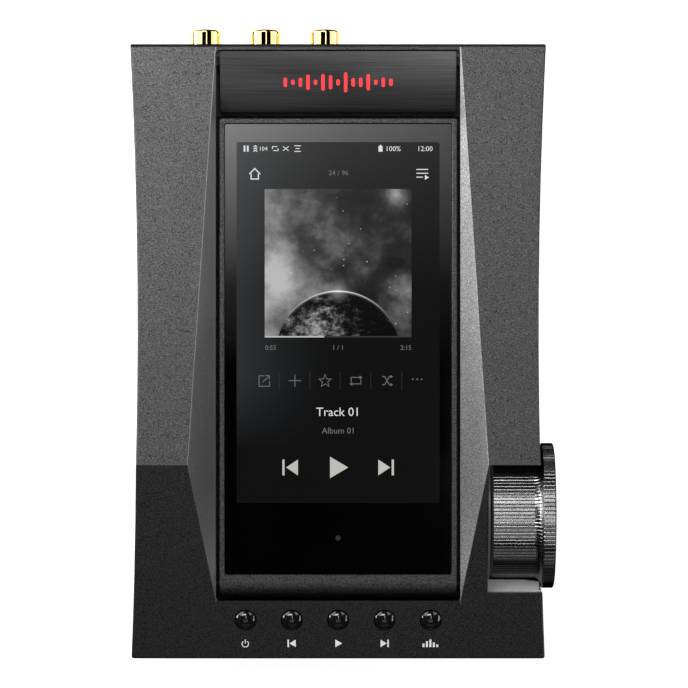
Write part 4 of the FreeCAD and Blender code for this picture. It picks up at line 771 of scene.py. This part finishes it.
def art_planet(mat, flat):
    """A dark globe with broken pale ground towards its left."""
    ground = noise(mat, place_coords(mat, (1, 1.4, 1), (0.2, 0, 0)), 520.0, 8.0, 0.72)
    lift = math_node(mat, "MULTIPLY", glow_at(mat, flat, -5.5, 4.5, 13.0, 0.8), 0.30)
    level = math_node(mat, "ADD", math_node(mat, "SUBTRACT", ground, 0.14), lift)
    return ramp(mat, level, greys(GROUND_TONES))


def planet_rim(mat, flat, away):
    """The planet's lit rim: a thin line, brightest at its rear, with a small flare there."""
    edge = PLANET[2]
    rise = spread(mat, away, 0.0, 1.0, (edge - RIM_INSIDE) * MM, edge * MM)
    inner = math_node(mat, "POWER", rise, 2.0)
    outer = spread(mat, away, 1.0, 0.0, edge * MM, (edge + RIM_OUTSIDE) * MM)
    line = math_node(mat, "POWER", math_node(mat, "MINIMUM", inner, outer), 2.5)
    crest = (PLANET[0], PLANET[1] + edge)
    crown = glow_at(mat, flat, *crest, RIM_REACH, 1.3)
    spark = glow_at(mat, flat, *crest, FLARE_REACH, 1.6)
    flare = math_node(mat, "MULTIPLY", spark, FLARE_STRENGTH)
    return math_node(mat, "ADD", math_node(mat, "MULTIPLY", line, crown), flare)


def cover_art():
    """A plain space picture: grey cloud, a few stars, a dark planet with a lit rim."""
    mat, shader = new_material("cover_art", Emission_Strength=1.0, IOR=1.235, Roughness=0.06)
    vector = place_coords(mat)
    axes = split_xyz(mat, vector)
    combined = add(mat, "ShaderNodeCombineXYZ")
    join(mat, axes["X"], combined.inputs["X"])
    join(mat, axes["Y"], combined.inputs["Y"])
    flat = combined.outputs["Vector"]
    away = distance_from(mat, flat, PLANET[0], PLANET[1])
    disc = spread(mat, away, 1.0, 0.0, (PLANET[2] - 0.1) * MM, (PLANET[2] + 0.1) * MM)
    picture = blend_colours(mat, disc, art_sky(mat, vector, flat), art_planet(mat, flat))
    lit = blend_colours(mat, 1.0, picture, planet_rim(mat, flat, away), "ADD")
    join(mat, lit, shader.inputs["Emission Color"])
    shader.inputs["Base Color"].default_value = UNLIT
    return mat


def screen_height(level):
    """The height of a drawing on the glass; each layer lies a hair above the one below."""
    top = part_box("cover_glass")[1].z / MM
    return lambda x, y: top + GLASS_GAP * (1 + level)


def screen_piece(drawing, name, mat):
    drawing.piece(name, mat, "display")


def make_screen():
    """Everything the display shows, as thin pieces just above the glass."""
    panel = Drawing(screen_height(0))
    panel.add(rounded(SCREEN_LEFT, SCREEN_FRONT, SCREEN_RIGHT, SCREEN_REAR, SCREEN_CORNER))
    screen_piece(panel, "screen_area", screen_panel())
    art = Drawing(screen_height(1))
    art.add(rounded(*ART, 0.15))
    screen_piece(art, "screen_cover_art", cover_art())
    pale = emitting("pixels_pale", (0.56, 0.55, 0.52))
    white = emitting("pixels_white", grey(0.78))
    dim = emitting("pixels_dim", grey(0.16))
    line = emitting("pixels_line", grey(0.035))
    draw_status(white)
    draw_format(dim)
    draw_progress(pale, line, dim)
    draw_tool_row(dim, line)
    draw_titles(white, dim)
    draw_transport(pale)
    home = Drawing(screen_height(0))
    home.disc(*HOME_MARK)
    screen_piece(home, "home_mark", emitting("home_mark", (0.030, 0.030, 0.031)))


def draw_status(white):
    """The status row's small signs and numbers, and the house and list signs below it."""
    bright = Drawing(screen_height(1))
    draw_status_left(bright, STATUS_Y)
    draw_status_right(bright, STATUS_Y)
    draw_house_and_list(bright)
    screen_piece(bright, "screen_status", white)


def draw_status_left(bright, y):
    """Pause, arrows, a number, repeat, cross and lines."""
    for x in (-23.3, -22.5):
        bright.bar(x, y - 0.75, x + 0.45, y + 0.75)
    for k in range(3):
        base = y - 0.75 + 0.55 * k
        bright.stroke([(-20.85, base), (-20.4, base + 0.4), (-19.95, base)], 0.22)
    bright.text("104", -18.45, y, SMALL_TEXT)
    bright.stroke([(-16.2, y - 0.1), (-16.2, y + 0.5), (-15.0, y + 0.5)], HAIRLINE)
    bright.stroke([(-14.8, y + 0.1), (-14.8, y - 0.5), (-16.0, y - 0.5)], HAIRLINE)
    for sign in (-1, 1):
        bright.stroke([(-13.6, y + sign * 0.55), (-12.2, y - sign * 0.55)], HAIRLINE)
    for k, reach in enumerate((0.8, 0.5, 0.8)):
        bright.bar(-10.0 - reach, y - 0.8 + 0.7 * k, -10.0 + reach, y - 0.6 + 0.7 * k)


def draw_status_right(bright, y):
    """The battery, its charge and the time."""
    bright.bar(9.95, y - 0.75, 10.95, y + 0.65)
    bright.bar(10.25, y + 0.65, 10.65, y + 0.9)
    bright.text("100%", 13.55, y, STATUS_TEXT)
    bright.text("12:00", 21.4, y, STATUS_TEXT)


def draw_house_and_list(bright):
    bright.stroke([(-21.9, 43.6), (-20.55, 45.0), (-19.2, 43.6)], BOLD)
    bright.stroke([(-21.45, 43.7), (-21.45, 42.4), (-19.65, 42.4), (-19.65, 43.7)], BOLD)
    for k in range(3):
        bright.bar(19.3, 42.75 + 0.95 * k, 22.2 if k else 20.9, 42.98 + 0.95 * k)
    bright.add([(21.4, 42.2), (22.4, 42.8), (21.4, 43.4)])


def draw_format(dim):
    faint = Drawing(screen_height(1))
    faint.text("24 / 96", 0.1, HEADER_Y, STATUS_TEXT)
    screen_piece(faint, "screen_format", dim)


def draw_progress(pale, line, dim):
    """The progress bar, its played part and the times under it."""
    front, rear = TRACK_BAR
    track = Drawing(screen_height(2))
    track.bar(ART[0], front, ART[2], rear)
    screen_piece(track, "screen_track", line)
    done = Drawing(screen_height(3))
    done.bar(ART[0], front, TRACK_DONE_X, rear)
    screen_piece(done, "screen_progress", pale)
    times = Drawing(screen_height(1))
    times.text("0:55", -18.0, TIMES_Y, TIMES_TEXT, "LEFT")
    times.text("1 / 1", 0.0, TIMES_Y, TIMES_TEXT)
    times.text("2:15", 18.1, TIMES_Y, TIMES_TEXT, "RIGHT")
    screen_piece(times, "screen_times", dim)


def draw_tool_row(dim, line):
    """Share, add, favourite, repeat, shuffle and more, with dividers between them."""
    y = TOOLS_Y
    icons = Drawing(screen_height(1))
    draw_share_and_add(icons, y)
    icons.stroke(star(-3.2, y - 0.1, 1.6, 0.68), 0.17, closed=True)
    draw_repeat_and_shuffle(icons, y)
    for k in range(3):
        icons.disc(18.4 + 1.1 * k, y + 0.35, 0.2, 10)
    screen_piece(icons, "screen_tool_icons", dim)
    dividers = Drawing(screen_height(1))
    for x in (-14.5, -6.95, 0.5, 8.05, 15.7):
        dividers.bar(x - 0.05, y - 2.2, x + 0.05, y + 2.2)
    screen_piece(dividers, "screen_dividers", line)


def draw_share_and_add(icons, y):
    corners = [(-18.2, 1.2), (-19.5, 1.2), (-19.5, -1.4), (-16.9, -1.4), (-16.9, -0.1)]
    tray = [(x, y + rise) for x, rise in corners]
    icons.stroke(tray, THIN)
    icons.stroke([(-18.6, y - 0.4), (-17.0, y + 1.2)], THIN)
    icons.stroke([(-17.9, y + 1.25), (-16.95, y + 1.25), (-16.95, y + 0.3)], THIN)
    icons.stroke([(-12.15, y), (-9.15, y)], THIN)
    icons.stroke([(-10.65, y - 1.5), (-10.65, y + 1.5)], THIN)


def draw_repeat_and_shuffle(icons, y):
    icons.stroke([(3.2, y - 0.3), (3.2, y + 0.8), (5.5, y + 0.8)], THIN)
    icons.stroke([(5.6, y + 0.3), (5.6, y - 0.8), (3.3, y - 0.8)], THIN)
    icons.add([(5.3, y + 0.35), (6.0, y + 0.8), (5.3, y + 1.25)])
    icons.add([(3.5, y - 0.35), (2.8, y - 0.8), (3.5, y - 1.25)])
    for sign in (-1, 1):
        start, end = y - sign, y + sign
        icons.stroke([(10.85, start), (11.5, start), (12.6, end), (13.1, end)], THIN)
        icons.add([(12.9, end - 0.4), (13.5, end), (12.9, end + 0.4)])


def draw_titles(white, dim):
    title = Drawing(screen_height(1))
    title.text("Track 01", 0.0, TITLE_Y, TITLE_TEXT)
    screen_piece(title, "screen_title", white)
    under = Drawing(screen_height(1))
    under.text("Album 01", 0.1, SUBTITLE_Y, SUBTITLE_TEXT)
    screen_piece(under, "screen_subtitle", dim)


def draw_transport(pale):
    """Previous, play and next."""
    y = TRANSPORT_Y
    half = 1.95
    controls = Drawing(screen_height(1))
    controls.bar(-13.75, y - half, -13.2, y + half)
    controls.add([(-9.9, y - half), (-9.9, y + half), (-12.85, y)])
    controls.add([(-2.0, y - 2.65), (2.5, y), (-2.0, y + 2.65)])
    controls.add([(9.9, y - half), (12.85, y), (9.9, y + half)])
    controls.bar(13.2, y - half, 13.75, y + half)
    screen_piece(controls, "screen_transport", pale)


# ---------------------------------------------------------------- key symbols

def slope_height(x, y):
    """The front slope's surface, with a hair of ink on it."""
    return PEAK_Z - (RIDGE_Y - y) * SLOPE + INK


def make_key_symbols():
    """The printed power, previous, play, next and equaliser signs under the keys."""
    drawing = Drawing(slope_height)
    y = SYMBOL_Y
    half = SYMBOL_HALF
    draw_power(drawing, -2 * KEY_PITCH - 0.1, y)
    x = -KEY_PITCH
    drawing.bar(x - 1.1, y - half, x - 0.72, y + half)
    drawing.add([(x + half, y - half), (x + half, y + half), (x - 0.6, y)])
    drawing.add([(-0.7, y - 0.97), (0.98, y), (-0.7, y + 0.97)])
    x = KEY_PITCH
    drawing.add([(x - half, y - half), (x + 0.6, y), (x - half, y + half)])
    drawing.bar(x + 0.72, y - half, x + 1.1, y + half)
    for k, height in enumerate(EQUALISER_BARS):
        left = 2 * KEY_PITCH - 2.0 + 0.85 * k
        drawing.bar(left, y - half, left + 0.5, y - half + height)
    # the ink glows by itself: painted light, as print is no lamp
    drawing.piece("key_symbols", glowing("printed_ink_painted_glow", (0.90, 0.90, 0.88), 0.42, 0.9), "chassis")


def draw_power(drawing, x, y):
    """An open ring with a bar in its gap."""
    start, end = POWER_GAP
    parts = 16
    centre_y = y - 0.12
    angles = [math.radians(start + (end - start) * i / parts) for i in range(parts + 1)]
    ring = [(x + POWER_RING * math.sin(a), centre_y + POWER_RING * math.cos(a)) for a in angles]
    drawing.stroke(ring, POWER_LINE)
    drawing.bar(x - POWER_LINE / 2, y - 0.05, x + POWER_LINE / 2, y + 1.0)


# ---------------------------------------------------------------- studio

def sheet(name, mat, x0, y0, x1, y1, z):
    """A flat rectangle of the studio's own."""
    corners = [(x0, y0, z), (x1, y0, z), (x1, y1, z), (x0, y1, z)]
    made_sheet = mesh_object(name, corners, [(0, 1, 2, 3)], mat)
    return made_sheet


def only_mirrored(card):
    """Hide a card from everything but reflections."""
    card.visible_camera = False
    card.visible_shadow = False
    card.visible_diffuse = False


def pale_glow(name, strength, dark, light):
    """Matt near-white with its own light, faintly mottled."""
    mat, shader = new_material(name, Roughness=0.9, Emission_Strength=strength)
    shade = two_tone(mat, noise(mat, place_coords(mat), 14.0, 3.0), grey(dark), grey(light))
    join(mat, shade, shader.inputs["Base Color"])
    join(mat, shade, shader.inputs["Emission Color"])
    return mat


def studio_floor():
    """A pale matt tabletop, evenly lit, that the metal doesn't mirror."""
    mat = pale_glow("studio_floor", 0.9, 0.96, 0.985)
    reach = TABLE_REACH
    floor = sheet("studio_floor", mat, -reach, -reach, reach, reach, -TABLE_DROP)
    floor.visible_glossy = False


def bounce_card():
    """A small pale card on the table that the rear sockets mirror."""
    mat = pale_glow("bounce_card", 1.0, 0.95, 0.98)
    only_mirrored(sheet("bounce_card", mat, *BOUNCE_CARD, BOUNCE_HEIGHT))


def gradient_card():
    """The soft edge of the overhead light that the glass mirrors."""
    mat = bpy.data.materials.new("gradient_card")
    mat.use_nodes = True
    mat.node_tree.nodes.clear()
    output = add(mat, "ShaderNodeOutputMaterial")
    glow = add(mat, "ShaderNodeEmission")
    glow.inputs["Strength"].default_value = CARD_STRENGTH
    join(mat, glow.outputs["Emission"], output.inputs["Surface"])
    half_x, half_y = CARD
    axes = split_xyz(mat, place_coords(mat))
    along = spread(mat, axes["Y"], 0.0, 1.0, -half_y * MM, half_y * MM)
    across = spread(mat, axes["X"], 0.0, 1.0, -half_x * MM, half_x * MM)
    fall = ramp(mat, along, greys(CARD_FALL))
    side = ramp(mat, across, greys(CARD_SIDE))
    join(mat, blend_colours(mat, 1.0, fall, side, "MULTIPLY"), glow.inputs["Color"])
    card = sheet("gradient_card", mat, -half_x, -half_y, half_x, half_y, 0)
    card.location = above_display()
    only_mirrored(card)


def above_display():
    """The camera's place, in metres."""
    return (VIEW_CENTRE[0] * MM, VIEW_CENTRE[1] * MM, (DISPLAY_PLANE + CAMERA_DISTANCE) * MM)


def softbox(name, place, aim, size, brightness):
    """A rectangular area light, facing aim. Its brightness is how bright it looks."""
    light = bpy.data.lights.new(name, "AREA")
    light.shape = "RECTANGLE"
    light.size, light.size_y = (s * MM for s in size)
    light.energy = brightness * math.pi * size[0] * size[1] * MM * MM
    lamp = bpy.data.objects.new(name, light)
    lamp.location = Vector(place) * MM
    towards = (Vector(aim) - Vector(place)).normalized()
    lamp.rotation_mode = "QUATERNION"
    lamp.rotation_quaternion = towards.to_track_quat("-Z", "Y")
    lamp.visible_camera = False
    bpy.context.scene.collection.objects.link(lamp)


def make_world():
    """Dim all round, pale at the horizon, and not mirrored."""
    world = bpy.data.worlds.new("studio")
    world.use_nodes = True
    coords = add(world, "ShaderNodeTexCoord")
    height = split_xyz(world, coords.outputs["Generated"])["Z"]
    level = spread(world, height, 0.0, 1.0, -WORLD_BAND, WORLD_BAND)
    background = world.node_tree.nodes["Background"]
    join(world, ramp(world, level, greys(WORLD_TONES)), background.inputs["Color"])
    world.cycles_visibility.glossy = False
    bpy.context.scene.world = world


def make_camera():
    """A camera looking straight down at the display."""
    data = bpy.data.cameras.new("camera")
    data.sensor_width = SENSOR
    data.lens = SENSOR * CAMERA_DISTANCE / FIELD_WIDTH
    data.clip_start, data.clip_end = CLIP_NEAR, CLIP_FAR
    camera = bpy.data.objects.new("camera", data)
    camera.location = above_display()
    bpy.context.scene.collection.objects.link(camera)
    bpy.context.scene.camera = camera


# ---------------------------------------------------------------- the scene

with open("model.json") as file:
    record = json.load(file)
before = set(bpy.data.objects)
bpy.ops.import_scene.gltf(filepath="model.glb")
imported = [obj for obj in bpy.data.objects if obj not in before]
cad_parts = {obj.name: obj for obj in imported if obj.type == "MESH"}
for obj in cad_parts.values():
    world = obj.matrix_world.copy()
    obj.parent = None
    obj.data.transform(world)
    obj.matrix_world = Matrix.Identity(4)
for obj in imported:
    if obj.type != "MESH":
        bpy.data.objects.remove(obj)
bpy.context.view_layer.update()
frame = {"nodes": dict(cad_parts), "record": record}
made = finishes()
for node_name, slot in slots_by_node(frame["record"]).items():
    node = frame["nodes"][node_name]
    node.data.materials.clear()
    node.data.materials.append(made[slot])
make_wheel(made["wheel_machined"])
make_screen()
make_key_symbols()
studio_floor()
bounce_card()
gradient_card()
for light_settings in LIGHTS:
    softbox(*light_settings)
make_world()
make_camera()
bpy.context.scene.view_settings.view_transform = "Standard"
